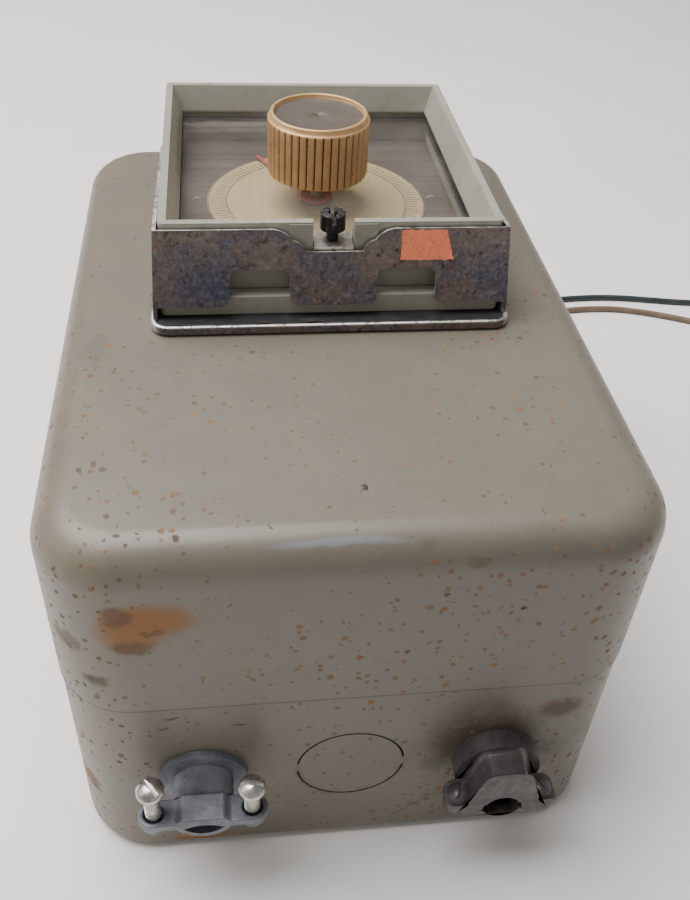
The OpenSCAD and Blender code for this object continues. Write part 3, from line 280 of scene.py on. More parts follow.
class Finish:
    """A material in the making: its tree, its shader and the piece's own coordinates."""

    def __init__(self, name, roughness=0.5, metallic=0.0):
        self.material = bpy.data.materials.new(name)
        self.material.use_nodes = True
        self.tree = self.material.node_tree
        self.shader = self.tree.nodes["Principled BSDF"]
        coordinates = add(self.tree, "ShaderNodeTexCoord")
        self.place = coordinates.outputs["Object"]
        self.facing = coordinates.outputs["Normal"]
        self.ragged_places = {}
        self.shader.inputs["Roughness"].default_value = roughness
        self.shader.inputs["Metallic"].default_value = metallic

    def group(self, name, values=None):
        """The outputs of a shared group that reads this piece's coordinates."""
        tree = bpy.data.node_groups.get(name) or GROUP_MAKERS[name]()
        node = self.tree.nodes.new("ShaderNodeGroup")
        node.node_tree = tree
        self.tree.links.new(self.place, node.inputs["Vector"])
        for key, value in (values or {}).items():
            node.inputs[key].default_value = value
        return node.outputs

    def blot(self, centre, size, ragged=12 * MM, grain=90.0, softness=0.5):
        """A ragged patch; centre and size are in millimetres."""
        values = {"Centre": Vector(centre) * MM, "Size": Vector(size) * MM, "Softness": softness}
        mask = self.group("blot", values)["Mask"]
        self.tree.links.new(self.ragged(ragged, grain), mask.node.inputs["Vector"])
        return mask

    def ragged(self, amount, grain):
        """The piece's coordinates, shaken by that amount so that a patch gets an uneven edge."""
        if (amount, grain) not in self.ragged_places:
            noise = add(self.tree, "ShaderNodeTexNoise",
                        {"Vector": self.place, "Scale": grain, "Detail": 5.0, "Roughness": 0.62})
            shake = vector_maths(self.tree, "SUBTRACT", noise.outputs[1], (0.5, 0.5, 0.5))
            shake = vector_maths(self.tree, "MULTIPLY", shake, (amount, amount, amount))
            self.ragged_places[amount, grain] = vector_maths(self.tree, "ADD", self.place, shake)
        return self.ragged_places[amount, grain]

    def flecks(self, scale, amount, ragged=0.8 * MM):
        return self.group("rust_flecks", {"Scale": scale, "Amount": amount, "Ragged": ragged})

    def cloud(self, scale, detail=4.0, roughness=0.55):
        return cloud(self.tree, self.place, scale, detail, roughness)

    def height(self, value):
        """A coordinate of the piece: 0 is X, 1 is Y and 2 is Z."""
        return add(self.tree, "ShaderNodeSeparateXYZ", {0: self.place}).outputs[value]

    def towards(self, direction):
        """How much the surface faces a direction, from -1 to 1."""
        return vector_maths(self.tree, "DOT_PRODUCT", self.facing, Vector(direction).normalized())

    def mix(self, mask, a, b):
        return mix(self.tree, mask, a, b)

    def share(self, mask, amount):
        return maths(self.tree, "MULTIPLY", mask, amount)

    def band(self, value, low, high, to_low=0.0, to_high=1.0):
        return between(self.tree, value, low, high, to_low, to_high)

    def set(self, name, socket):
        self.tree.links.new(socket, self.shader.inputs[name])

    def bump(self, height, distance, strength=1.0):
        node = add(self.tree, "ShaderNodeBump",
                   {"Height": height, "Distance": distance, "Strength": strength})
        self.set("Normal", node.outputs[0])

    def grain(self, distance, grain=1500.0, wave=30.0, fine_amount=0.3, wave_amount=1.0):
        """Surface grain as a bump of that depth."""
        values = {"Grain": grain, "Wave": wave, "Fine amount": fine_amount, "Wave amount": wave_amount}
        self.bump(self.group("surface_grain", values)["Height"], distance)


# ---------------------------------------------------------------- finishes

def colours():
    return bpy.context.scene.timer_colours


def once(build):
    """The material of that maker, made at its first use."""
    name = build.__name__ + "_finish"
    return bpy.data.materials.get(name) or build(name)


def enclosure_paint(name):
    """Aged enamel on drawn steel, with rust flecks, stains and grime, painted shade over the right of the
    near face and a painted highlight along its near top edge.
    """
    c = colours()
    f = Finish(name, 0.42)
    paint = Vector(c.paint)
    base = f.mix(f.band(f.cloud(16.0, 3.0), 0.35, 0.68), paint * 0.95, paint * 1.04)
    base = f.mix(f.band(f.cloud(90.0, 5.0, 0.7), 0.42, 0.75, 0.0, 0.25), base, paint * 0.72)
    # faint brown bloom over the left of the cover
    bloom = f.share(f.band(f.height(0), -48 * MM, -82 * MM),
                    f.band(f.cloud(40.0, 5.0), 0.4, 0.62))
    base = f.mix(f.share(bloom, 0.30), base, (0.20, 0.145, 0.085))
    # painted shade over the right of the near face, and grime on its corner and round the right clamp
    face = f.band(f.height(1), -116 * MM, -122 * MM)
    # painted shade: the near face darkens smoothly towards its right
    shade = f.share(f.band(f.height(0), -60 * MM, 70 * MM, 0.35, 1.0), face)
    base = f.mix(f.share(shade, 0.45), base, (0.072, 0.062, 0.050))
    corner = f.share(f.band(f.height(0), 58 * MM, 83 * MM),
                     f.band(f.height(2), 128 * MM, 66 * MM, 0.1, 1.0))
    corner = f.share(corner, f.band(f.height(1), -50 * MM, -104 * MM))
    corner = f.share(corner, f.band(f.cloud(42.0, 7.0, 0.72), 0.36, 0.58))
    base = f.mix(f.share(corner, 0.75), base, (0.058, 0.037, 0.025))
    clamp = middle_of("right_locknut")
    halo = vector_maths(f.tree, "SUBTRACT", f.place, (clamp.x, NEAR_WALL_Y, clamp.z))
    halo = f.band(vector_maths(f.tree, "LENGTH", halo, (0, 0, 0)), 36 * MM, 17 * MM)
    halo = f.share(halo, f.band(f.cloud(75.0, 6.0, 0.7), 0.38, 0.6))
    base = f.mix(f.share(halo, 0.8), base, (0.055, 0.040, 0.028))
    rust, old = c.rust, c.dark_rust
    stains = (((-58, -124, 122), (17, 9, 9), rust, 0.88), ((-63, -124, 118), (12, 9, 12), rust, 0.8),
              ((-66, -124, 124), (6, 8, 6.5), old, 0.6), ((-63, -124, 111), (8, 8, 3.8), old, 0.6),
              ((-57, -124, 117), (6, 8, 1.6), old, 0.5), ((-75, -123, 95), (5.5, 7, 3.6), old, 0.6),
              ((-81, -117, 109), (7, 9, 5), old, 0.45), ((-84, -113, 33), (6, 9, 4.2), rust, 0.8),
              ((-83, -114, 29), (5, 8, 2.2), old, 0.6), ((-50, -123, 6), (13, 6, 4), rust, 0.85),
              ((-40, -123, 1.5), (16, 6, 2), rust, 0.5), ((86, -104, 98), (5, 9, 9), old, 0.6),
              ((86, -103, 122), (4, 8, 5), old, 0.5), ((30, -124, 138), (4.5, 6, 2.6), old, 0.45),
              ((16, -121, 143), (3, 4, 3), old, 0.4), ((66, -124, 68), (10, 8, 7), old, 0.6),
              ((38, -124, 64), (10, 5, 4), old, 0.35), ((-55, -123, 77), (3, 4, 0.9), old, 0.8),
              ((-58, -123, 71), (2.4, 4, 0.8), old, 0.8), ((-35, -124, 71), (3.4, 4, 1.0), old, 0.8),
              ((0.2, -101, 145), (0.9, 1.4, 2), (0.02, 0.018, 0.016), 0.95),
              ((44.7, -124, 119), (1.3, 2, 1.2), (0.05, 0.02, 0.012), 0.95),
              ((-60, -64, 145), (2.2, 3.2, 2), old, 0.35), ((-76, -33, 144), (6, 12, 4), old, 0.3))
    worn = None
    for centre, size, tone, amount in stains:
        mask = f.share(f.blot(centre, size, 7 * MM, 210.0, 0.6), amount)
        base = f.mix(mask, base, tone)
        worn = mask if worn is None else maths(f.tree, "MAXIMUM", worn, mask)
    # rust that crept round the lower half of the near knockout
    middle = (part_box("left_locknut")[0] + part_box("right_locknut")[1]) / 2
    reach = vector_maths(f.tree, "MULTIPLY", f.place, (1, 0, 1))
    reach = vector_maths(f.tree, "SUBTRACT", reach, (middle.x, 0, middle.z))
    reach = vector_maths(f.tree, "LENGTH", reach, (0, 0, 0))
    creep = f.share(f.band(reach, 14.2 * MM, 17.2 * MM), f.band(reach, 19.0 * MM, 17.8 * MM))
    creep = f.share(creep, f.band(f.cloud(120.0, 5.0, 0.7), 0.42, 0.6))
    creep = f.share(creep, f.band(f.height(2), middle.z + 4 * MM, middle.z - 6 * MM))
    creep = f.share(creep, f.band(f.height(1), -121 * MM, -123 * MM))
    base = f.mix(f.share(creep, 0.8), base, old)
    # dirt held in the seam between box and cover
    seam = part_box("cover")[0].z
    away = maths(f.tree, "ABSOLUTE", maths(f.tree, "SUBTRACT", f.height(2), seam))
    base = f.mix(f.band(away, 0.75 * MM, 0.3 * MM, 0.0, 0.8), base, (0.03, 0.024, 0.018))
    # rust along the bottom edge
    low = f.band(f.height(2), 7 * MM, 0.5 * MM)
    low = f.share(low, f.band(f.cloud(55.0, 5.0, 0.7), 0.46, 0.62))
    base = f.mix(f.share(low, 0.75), base, Vector(rust) * 0.7)
    for scale, amount, strength in ((118.0, 0.17, 0.75), (225.0, 0.32, 0.7), (62.0, 0.085, 0.75),
                                    (360.0, 0.46, 0.6)):
        out = f.flecks(scale, amount, 1.5 * MM)
        tone = f.mix(out["Tone"], rust, old)
        base = f.mix(f.share(out["Mask"], strength), base, tone)
        worn = maths(f.tree, "MAXIMUM", worn, out["Mask"])
    # a long dark scratch beside the right clamp, and a bluish painted highlight along the near top edge
    turned = add(f.tree, "ShaderNodeMapping", {"Vector": f.ragged(1.4 * MM, 45.0), "Rotation": (0, 0.762, 0),
                                               "Location": (-0.0259, 0, 0.0042)}).outputs[0]
    line = f.group("blot", {"Centre": (0, NEAR_WALL_Y, 0), "Size": (0.0145, 0.004, 0.00042)})
    f.tree.links.new(turned, line["Mask"].node.inputs["Vector"])
    base = f.mix(f.share(line["Mask"], 0.85), base, (0.035, 0.03, 0.026))
    # painted highlight: a pale bluish band along the near top edge
    painted_edge_highlight = f.blot((-8, -120, 143), (24, 5, 0.9), 3 * MM, 60.0, 0.6)
    base = f.mix(f.share(painted_edge_highlight, 0.5), base, (0.19, 0.21, 0.25))
    fine = f.group("fine_scratches", {"Amount": 0.35})["Mask"]
    base = f.mix(fine, base, paint * 1.35)
    f.set("Base Color", base)
    f.set("Roughness", f.band(maths(f.tree, "ADD", worn, f.share(f.cloud(40.0), 0.4)), 0.0, 1.3, 0.36, 0.85))
    grain = f.group("surface_grain", {"Grain": 900.0, "Wave": 22.0, "Fine amount": 0.05,
                                      "Wave amount": 0.9})["Height"]
    f.bump(maths(f.tree, "ADD", grain, f.share(worn, 0.12)), 0.6 * MM, 0.5)
    return f.material


def tarnished_plate(name):
    """Plated steel gone blue, violet and brown, bright on its cut edges and up-facing surfaces, partly as
    wear and partly as painted highlight.
    """
    c = colours()
    f = Finish(name, 0.36, 0.9)
    plate = Vector(c.plate)
    base = f.mix(f.band(f.cloud(70.0, 6.0, 0.7), 0.40, 0.62), plate, (0.22, 0.175, 0.15))
    blue = f.blot((-40, -20, 158), (24, 12, 12), 22 * MM, 60.0, 0.8)
    base = f.mix(f.share(blue, 0.75), base, (0.085, 0.098, 0.165))
    blue = f.blot((52, -20, 160), (12, 12, 14), 16 * MM, 60.0, 0.8)
    base = f.mix(f.share(blue, 0.5), base, (0.08, 0.092, 0.155))
    brown = f.band(f.cloud(190.0, 8.0, 0.8), 0.53, 0.64)
    base = f.mix(f.share(brown, 0.75), base, (0.15, 0.078, 0.045))
    mottle = f.band(f.cloud(620.0, 6.0, 0.75), 0.46, 0.60)
    base = f.mix(f.share(mottle, 0.5), base, (0.30, 0.27, 0.27))
    dark = f.band(f.cloud(340.0, 7.0, 0.8), 0.53, 0.62)
    base = f.mix(f.share(dark, 0.65), base, (0.05, 0.042, 0.045))
    flecks = f.flecks(330.0, 0.34, 1.2 * MM)
    spots = f.mix(flecks["Tone"], (0.05, 0.03, 0.03), (0.20, 0.09, 0.04))
    base = f.mix(f.share(flecks["Mask"], 0.75), base, spots)
    pale = f.band(f.cloud(260.0, 4.0, 0.6), 0.60, 0.72)
    base = f.mix(f.share(pale, 0.5), base, (0.34, 0.32, 0.33))
    # cut edges of the front plate and up-facing surfaces made bright: partly worn plating, partly painted
    # highlight
    face = maths(f.tree, "ABSOLUTE", f.towards((0, -0.977, 0.215)))
    near = f.band(f.height(1), -12 * MM, -14 * MM)
    cut = f.share(f.band(face, 0.88, 0.6), near)
    up = f.band(f.towards((0, 0, 1)), 0.55, 0.85)
    bright = maths(f.tree, "MAXIMUM", cut, up)
    speckle = f.band(f.cloud(420.0, 5.0, 0.7), 0.34, 0.50)
    bright = f.share(bright, speckle)
    base = f.mix(f.share(bright, 0.9), base, (0.74, 0.70, 0.66))
    f.set("Base Color", base)
    f.set("Metallic", f.band(brown, 0.0, 1.0, 0.92, 0.25))
    f.set("Roughness", f.band(f.cloud(150.0, 5.0), 0.3, 0.7, 0.30, 0.62))
    f.grain(0.12 * MM, 700.0, 60.0, 0.5, 0.6)
    return f.material


def bezel_moulding(name):
    """Grey-green moulding with a fine grain, handling dirt, a few nicks and painted shade along the left
    inner wall of the window.
    """
    c = colours()
    f = Finish(name, 0.4)
    tone = Vector(c.bezel)
    base = f.mix(f.band(f.cloud(45.0, 4.0), 0.35, 0.7), tone * 0.93, tone * 1.05)
    dirt = f.band(f.cloud(160.0, 6.0, 0.75), 0.53, 0.72)
    base = f.mix(f.share(dirt, 0.45), base, (0.11, 0.09, 0.07))
    # dark scuffs on the far wall of the window; the last, long patch is painted shade along its left inner
    # wall
    for centre, size, amount in (((-38, 103.5, 177.8), (6, 2.2, 1.3), 0.9),
                                 ((-32, 103.5, 178.2), (5, 2, 0.8), 0.7),
                                 ((-33, 102, 173), (3, 3, 0.9), 0.6),
                                 ((-49, 60, 172), (2, 46, 4.5), 0.42)):
        scuff_and_wall_shade = f.blot(centre, size, 4 * MM, 320.0, 0.5)
        base = f.mix(f.share(scuff_and_wall_shade, amount), base, (0.045, 0.038, 0.034))
    flecks = f.flecks(260.0, 0.16, 0.5 * MM)
    base = f.mix(f.share(flecks["Mask"], 0.6), base, (0.07, 0.05, 0.04))
    fine = f.group("fine_scratches", {"Amount": 0.4})["Mask"]
    base = f.mix(fine, base, tone * 1.5)
    f.set("Base Color", base)
    f.set("Roughness", f.band(f.cloud(80.0, 4.0), 0.3, 0.7, 0.34, 0.55))
    f.grain(0.05 * MM, 1900.0, 40.0, 0.5, 0.8)
    return f.material


def clear_window(name):
    """Clear plastic with dust and scratches, under a faint grey painted reflection and a painted reflection
    band.
    """
    f = Finish(name, 0.06)
    f.shader.inputs["IOR"].default_value = 1.49
    # a faint grey painted reflection over the pane, and a painted reflection band across its far left
    reflection_haze = f.band(f.cloud(35.0, 4.0), 0.35, 0.75, 0.0, 0.07)
    reflection_band = f.blot((-28, 86, 169), (30, 4.2, 6), 9 * MM, 50.0, 0.7)
    dust = f.flecks(420.0, 0.26, 0.4 * MM)["Mask"]
    scratch = f.group("fine_scratches", {"Amount": 1.0})["Mask"]
    cover = maths(f.tree, "ADD", maths(f.tree, "ADD", reflection_haze, f.share(reflection_band, 0.16)), f.share(scratch, 0.16))
    cover = maths(f.tree, "ADD", cover, f.share(dust, 0.35))
    # a constant part of the alpha keeps the painted reflection over the whole pane
    f.set("Alpha", maths(f.tree, "ADD", cover, 0.045, True))
    # grey of the painted reflection, brown where there is dust
    f.set("Base Color", f.mix(dust, (0.36, 0.33, 0.29), (0.10, 0.08, 0.06)))
    f.set("Roughness", f.band(f.cloud(60.0), 0.3, 0.7, 0.04, 0.12))
    return f.material


def dial_enamel(name):
    """Taupe metal behind the window, brushed and speckled with age."""
    tone = Vector(colours().dial)
    f = Finish(name, 0.42, 0.35)
    brushed = cloud(f.tree, stretched(f.tree, f.place, (8.0, 420.0, 1.0)), 1.0, 3.0)
    base = f.mix(f.band(brushed, 0.3, 0.7), tone * 0.9, tone * 1.08)
    base = f.mix(f.band(f.cloud(25.0), 0.35, 0.7, 0.0, 0.5), base, tone * 1.15)
    flecks = f.flecks(300.0, 0.2, 0.5 * MM)
    base = f.mix(f.share(flecks["Mask"], 0.7), base, (0.04, 0.032, 0.03))
    f.set("Base Color", base)
    f.set("Roughness", f.band(brushed, 0.3, 0.7, 0.34, 0.5))
    f.bump(brushed, 0.02 * MM, 0.6)
    return f.material


def printed_disc(name):
    """Cream printed metal disc, faintly grained and yellowed, with a painted shadow of the knob on its near
    side.
    """
    tone = Vector(colours().disc)
    f = Finish(name, 0.36, 0.12)
    brushed = cloud(f.tree, stretched(f.tree, f.place, (500.0, 14.0, 1.0)), 1.0, 3.0)
    base = f.mix(f.band(brushed, 0.3, 0.7), tone * 0.97, tone * 1.03)
    base = f.mix(f.band(f.cloud(50.0, 5.0), 0.45, 0.75, 0.0, 0.5), base, tone * 0.86)
    # painted shadow of the knob on the near side of the disc
    painted_knob_shadow = f.blot((4, 18, 157), (17, 10, 6), 9 * MM, 60.0, 0.8)
    base = f.mix(f.share(painted_knob_shadow, 0.35), base, (0.13, 0.11, 0.10))
    f.set("Base Color", base)
    f.set("Roughness", f.band(brushed, 0.3, 0.7, 0.3, 0.42))
    f.bump(brushed, 0.01 * MM, 0.5)
    return f.material


def knob_moulding(name):
    """Gold-tan fluted ring, painted dark in the bottoms of its grooves."""
    tone = Vector(colours().knob)
    f = Finish(name, 0.33, 0.35)
    low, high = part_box("knob")
    centre = (low + high) / 2
    outwards = vector_maths(f.tree, "MULTIPLY", vector_maths(f.tree, "SUBTRACT", f.place, centre), (1, 1, 0))
    radius = vector_maths(f.tree, "LENGTH", outwards, (0, 0, 0))
    edge = (high.x - low.x) / 2
    groove = f.band(radius, edge - 0.25 * MM, edge - 0.6 * MM)
    wall = f.band(radius, edge - 1.2 * MM, edge - 0.95 * MM)
    groove = f.share(groove, wall)
    below_rim = f.band(f.height(2), high.z - 1.9 * MM, high.z - 2.3 * MM)
    groove = f.share(groove, below_rim)
    base = f.mix(f.band(f.cloud(120.0, 4.0), 0.35, 0.7), tone * 0.88, tone * 1.08)
    # the bottoms of the grooves painted near-black
    base = f.mix(f.share(groove, 0.92), base, (0.032, 0.018, 0.010))
    wear = f.flecks(420.0, 0.3, 0.6 * MM)
    base = f.mix(f.share(wear["Mask"], 0.55), base, (0.05, 0.028, 0.014))
    f.set("Base Color", base)
    f.set("Roughness", f.band(f.cloud(200.0, 4.0), 0.3, 0.7, 0.27, 0.5))
    f.grain(0.03 * MM, 2200.0, 90.0, 0.5, 0.5)
    return f.material


def spun_cap(name):
    """Spun metal cap with fine rings, dark specks and a few paler patches."""
    f = Finish(name, 0.4, 0.35)
    centre = middle_of("knob_cap")
    outwards = vector_maths(f.tree, "MULTIPLY", vector_maths(f.tree, "SUBTRACT", f.place, centre), (1, 1, 0))
    radius = vector_maths(f.tree, "LENGTH", outwards, (0, 0, 0))
    rings = add(f.tree, "ShaderNodeTexNoise", {"W": f.share(radius, 2600.0), "Scale": 1.0},
                noise_dimensions="1D").outputs[0]
    base = f.mix(rings, (0.085, 0.068, 0.055), (0.125, 0.102, 0.084))
    base = f.mix(f.share(f.flecks(350.0, 0.22)["Mask"], 0.7), base, (0.06, 0.05, 0.04))
    base = f.mix(f.band(f.cloud(110.0, 5.0), 0.5, 0.72, 0.0, 0.5), base, (0.16, 0.12, 0.09))
    f.set("Base Color", base)
    f.set("Roughness", f.band(rings, 0.2, 0.8, 0.46, 0.6))
    f.bump(rings, 0.02 * MM, 0.6)
    return f.material


def worn_steel(name, tone=(0.52, 0.50, 0.47), rust=0.5, roughness=0.32):
    """Bare steel with scratches and rust spots."""
    f = Finish(name, roughness, 1.0)
    base = f.mix(f.band(f.cloud(200.0, 5.0), 0.35, 0.7), Vector(tone) * 0.8, Vector(tone) * 1.1)
    fine = f.group("fine_scratches", {"Amount": 0.8})["Mask"]
    base = f.mix(fine, base, (0.8, 0.78, 0.75))
    spots = f.band(f.cloud(420.0, 6.0, 0.75), 0.56, 0.66)
    base = f.mix(f.share(spots, rust), base, (0.20, 0.095, 0.04))
    flecks = f.flecks(520.0, 0.35, 0.5 * MM)
    base = f.mix(f.share(flecks["Mask"], rust), base, (0.07, 0.035, 0.02))
    f.set("Base Color", base)
    f.set("Metallic", f.band(spots, 0.0, 1.0, 1.0, 1.0 - 0.8 * rust))
    f.set("Roughness", f.band(f.cloud(300.0, 5.0), 0.3, 0.7, roughness - 0.06, roughness + 0.18))
    f.grain(0.05 * MM, 1800.0, 120.0, 0.6, 0.5)
    return f.material


def rubbed_steel(name):
    return worn_steel(name, (0.50, 0.48, 0.45), 0.55, 0.3)


def screw_zinc(name):
    return worn_steel(name, (0.60, 0.58, 0.55), 0.22, 0.24)


def aged_steel(name):
    return worn_steel(name, (0.27, 0.245, 0.21), 0.85, 0.42)


def black_oxide(name):
    """Blackened steel, grey on its up-facing faces, partly as wear and partly as painted highlight."""
    f = Finish(name, 0.36, 0.7)
    base = f.mix(f.band(f.cloud(500.0, 5.0), 0.5, 0.75), (0.022, 0.022, 0.024), (0.075, 0.072, 0.07))
    # up-facing faces made grey: partly wear, partly painted highlight
    up = f.share(f.band(f.towards((0, 0, 1)), 0.8, 1.0), 0.6)
    base = f.mix(f.share(up, f.band(f.cloud(700.0), 0.45, 0.6)), base, (0.16, 0.15, 0.14))
    f.set("Base Color", base)
    f.set("Roughness", f.band(f.cloud(400.0), 0.3, 0.7, 0.28, 0.5))
    f.grain(0.04 * MM, 2400.0, 200.0, 0.6, 0.5)
    return f.material


def cast_zinc(name, tone=None, bright=0.7, metallic=0.5):
    """Die-cast zinc: blue-grey, pitted, lighter on faces turned up and to the near side, partly as wear and
    partly as painted highlight.
    """
    tone = Vector(tone or colours().zinc)
    f = Finish(name, 0.45, metallic)
    base = f.mix(f.band(f.cloud(130.0, 5.0, 0.65), 0.36, 0.68), tone * 0.72, tone * 1.12)
    # faces turned up and to the near side made lighter: partly wear, partly painted highlight
    up = f.band(f.towards((0, -0.35, 1)), 0.85, 1.0)
    wear_and_highlight = f.share(up, f.band(f.cloud(230.0, 4.0), 0.46, 0.64))
    base = f.mix(f.share(wear_and_highlight, 0.35 * bright), base, tone * 1.9)
    pits = f.flecks(560.0, 0.36, 0.5 * MM)
    base = f.mix(f.share(pits["Mask"], 0.6), base, tone * 0.35)
    glints = f.flecks(900.0, 0.22, 0.3 * MM)
    base = f.mix(f.share(glints["Mask"], 0.8 * bright), base, (0.55, 0.55, 0.56))
    f.set("Base Color", base)
    f.set("Roughness", f.band(f.cloud(350.0, 5.0), 0.3, 0.7, 0.36, 0.62))
    f.grain(0.16 * MM, 900.0, 140.0, 0.45, 0.6)
    return f.material


def left_clamp_zinc(name):
    return cast_zinc(name)


def right_clamp_oxide(name):
    """The same casting, blackened."""
    return cast_zinc(name, colours().dark_zinc, 0.35, 0.45)


def soft_rubber(name):
    """Black rubber with chalky dust."""
    f = Finish(name, 0.6)
    dust = f.band(f.cloud(160.0, 5.0, 0.7), 0.5, 0.75, 0.0, 0.5)
    base = f.mix(dust, (0.014, 0.014, 0.016), (0.06, 0.055, 0.05))
    f.set("Base Color", base)
    f.set("Roughness", f.band(f.cloud(240.0), 0.3, 0.7, 0.45, 0.75))
    f.grain(0.12 * MM, 1200.0, 200.0, 0.6, 0.6)
    return f.material


def label_paper(name):
    """Torn orange paper with fibres and smudges."""
    tone = Vector(colours().label)
    f = Finish(name, 0.75)
    fibre = cloud(f.tree, stretched(f.tree, f.place, (1400.0, 1400.0, 500.0), (0, 0.5, 0)), 1.0, 4.0)
    base = f.mix(f.band(fibre, 0.35, 0.7), tone * 0.9, tone * 1.06)
    smudge = f.band(f.cloud(240.0, 6.0, 0.75), 0.5, 0.68)
    base = f.mix(f.share(smudge, 0.5), base, tone * 0.55)
    speck = f.flecks(800.0, 0.3, 0.4 * MM)
    base = f.mix(f.share(speck["Mask"], 0.6), base, (0.16, 0.05, 0.03))
    f.set("Base Color", base)
    f.set("Roughness", f.band(fibre, 0.3, 0.7, 0.65, 0.85))
    f.bump(fibre, 0.05 * MM, 0.7)
    return f.material


def insulation(name, tone):
    """Satin lead insulation, dusty and slightly scuffed."""
    f = Finish(name, 0.42)
    tone = Vector(tone)
    base = f.mix(f.band(f.cloud(90.0, 4.0), 0.4, 0.7), tone * 0.85, tone * 1.25)
    base = f.mix(f.share(f.flecks(500.0, 0.25)["Mask"], 0.5), base, (0.12, 0.11, 0.10))
    f.set("Base Color", base)
    f.set("Roughness", f.band(f.cloud(200.0), 0.3, 0.7, 0.34, 0.56))
    f.grain(0.05 * MM, 1500.0, 120.0, 0.4, 0.8)
    return f.material


def black_insulation(name):
    return insulation(name, (0.02, 0.028, 0.032))


def tan_insulation(name):
    return insulation(name, (0.15, 0.098, 0.06))


def metal(name, tone, roughness=0.35, fine=900.0):
    """Plain plated metal with brushing, stains and fingerprints."""
    f = Finish(name, roughness, 1.0)
    brushed = cloud(f.tree, stretched(f.tree, f.place, (20.0, fine, fine)), 1.0, 3.0)
    base = f.mix(f.band(brushed, 0.3, 0.7), Vector(tone) * 0.85, Vector(tone) * 1.1)
    base = f.mix(f.band(f.cloud(70.0, 4.0), 0.5, 0.75, 0.0, 0.5), base, Vector(tone) * 0.6)
    f.set("Base Color", base)
    f.set("Roughness", f.band(brushed, 0.3, 0.7, roughness - 0.08, roughness + 0.12))
    f.bump(brushed, 0.02 * MM, 0.6)
    return f.material


def contact_brass(name):
    return metal(name, (0.60, 0.42, 0.17))


def strand_copper(name):
    return metal(name, (0.72, 0.33, 0.16), 0.3)


def chassis_aluminium(name):
    return metal(name, (0.58, 0.59, 0.58), 0.38)


def motor_can(name):
    return metal(name, (0.42, 0.42, 0.40), 0.32)


def blued_spring(name):
    return metal(name, (0.10, 0.13, 0.20), 0.28)


def moulded(name, tone, roughness=0.45):
    """Dark moulding with grain and dust."""
    f = Finish(name, roughness)
    tone = Vector(tone)
    base = f.mix(f.band(f.cloud(120.0, 5.0), 0.35, 0.72), tone * 0.8, tone * 1.3)
    base = f.mix(f.share(f.flecks(420.0, 0.22)["Mask"], 0.4), base, (0.2, 0.18, 0.16))
    f.set("Base Color", base)
    f.set("Roughness", f.band(f.cloud(200.0), 0.3, 0.7, roughness - 0.08, roughness + 0.14))
    f.grain(0.05 * MM, 1500.0, 90.0, 0.5, 0.6)
    return f.material


def phenolic(name):
    return moulded(name, (0.07, 0.04, 0.025), 0.38)


def switch_black(name):
    return moulded(name, (0.025, 0.025, 0.027))


def coil_varnish(name):
    return moulded(name, (0.22, 0.07, 0.03), 0.25)


def case_enamel(name):
    return moulded(name, (0.12, 0.125, 0.13), 0.4)


def pointer_red(name):
    return moulded(name, (0.46, 0.06, 0.035), 0.4)


def scale_ink(name):
    return moulded(name, (0.03, 0.022, 0.016), 0.6)


def mark_white(name):
    return moulded(name, (0.62, 0.60, 0.55), 0.6)


def pale_floor(name):
    """Plain pale floor with a barely visible grain."""
    tone = Vector(colours().floor)
    f = Finish(name, 0.75)
    base = f.mix(f.band(f.cloud(9.0, 3.0), 0.3, 0.75), tone * 0.975, tone * 1.02)
    f.set("Base Color", base)
    f.grain(0.25 * MM, 420.0, 120.0, 0.6, 0.6)
    return f.material


# ---------------------------------------------------------------- shape helpers

def linked(name, mesh, material):
    """An object with that mesh and one material, in the scene."""
    obj = bpy.data.objects.new(name, mesh)
    bpy.context.scene.collection.objects.link(obj)
    mesh.materials.clear()
    mesh.materials.append(material)
    return obj


def mesh_from(shape, name, smooth=True):
    """Turns a bmesh into a mesh with outward faces."""
    bmesh.ops.recalc_face_normals(shape, faces=shape.faces)
    mesh = bpy.data.meshes.new(name)
    shape.to_mesh(mesh)
    shape.free()
    mesh.shade_smooth() if smooth else mesh.shade_flat()
    return mesh


def soften(obj, width, segments=2, angle=28.0):
    """Rounds the edges and keeps the flat faces flat."""
    bevel = obj.modifiers.new("edge rounding", "BEVEL")
    bevel.limit_method = "ANGLE"
    bevel.angle_limit = math.radians(angle)
    bevel.width = width
    bevel.segments = segments
    bevel.use_clamp_overlap = True
    shading = obj.modifiers.new("even shading", "WEIGHTED_NORMAL")
    shading.keep_sharp = True


def refined(node, material, width, body, name, slot, segments=2):
    """The CAD node's shape with joined faces and rounded edges, standing for it."""
    mesh = NODES[node].data.copy()
    for attribute in [a for a in mesh.attributes if a.name == "custom_normal"]:
        mesh.attributes.remove(attribute)
    shape = bmesh.new()
    shape.from_mesh(mesh)
    bmesh.ops.remove_doubles(shape, verts=shape.verts, dist=0.002 * MM)
    bmesh.ops.dissolve_limit(shape, angle_limit=math.radians(0.5), verts=shape.verts, edges=shape.edges)
    shape.to_mesh(mesh)
    shape.free()
    while mesh.uv_layers:
        mesh.uv_layers.remove(mesh.uv_layers[0])
    mesh.shade_smooth()
    obj = linked(name, mesh, once(material))
    soften(obj, width, segments)
    finish_piece(obj, body, slot, node)
    return obj


def finish_piece(obj, body, slot, *nodes):
    """Names the body it rides on, takes a material slot that is not used, and hides the CAD nodes it stands
    for.
    """
    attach(obj, body)
    if nodes:
        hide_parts(*nodes)


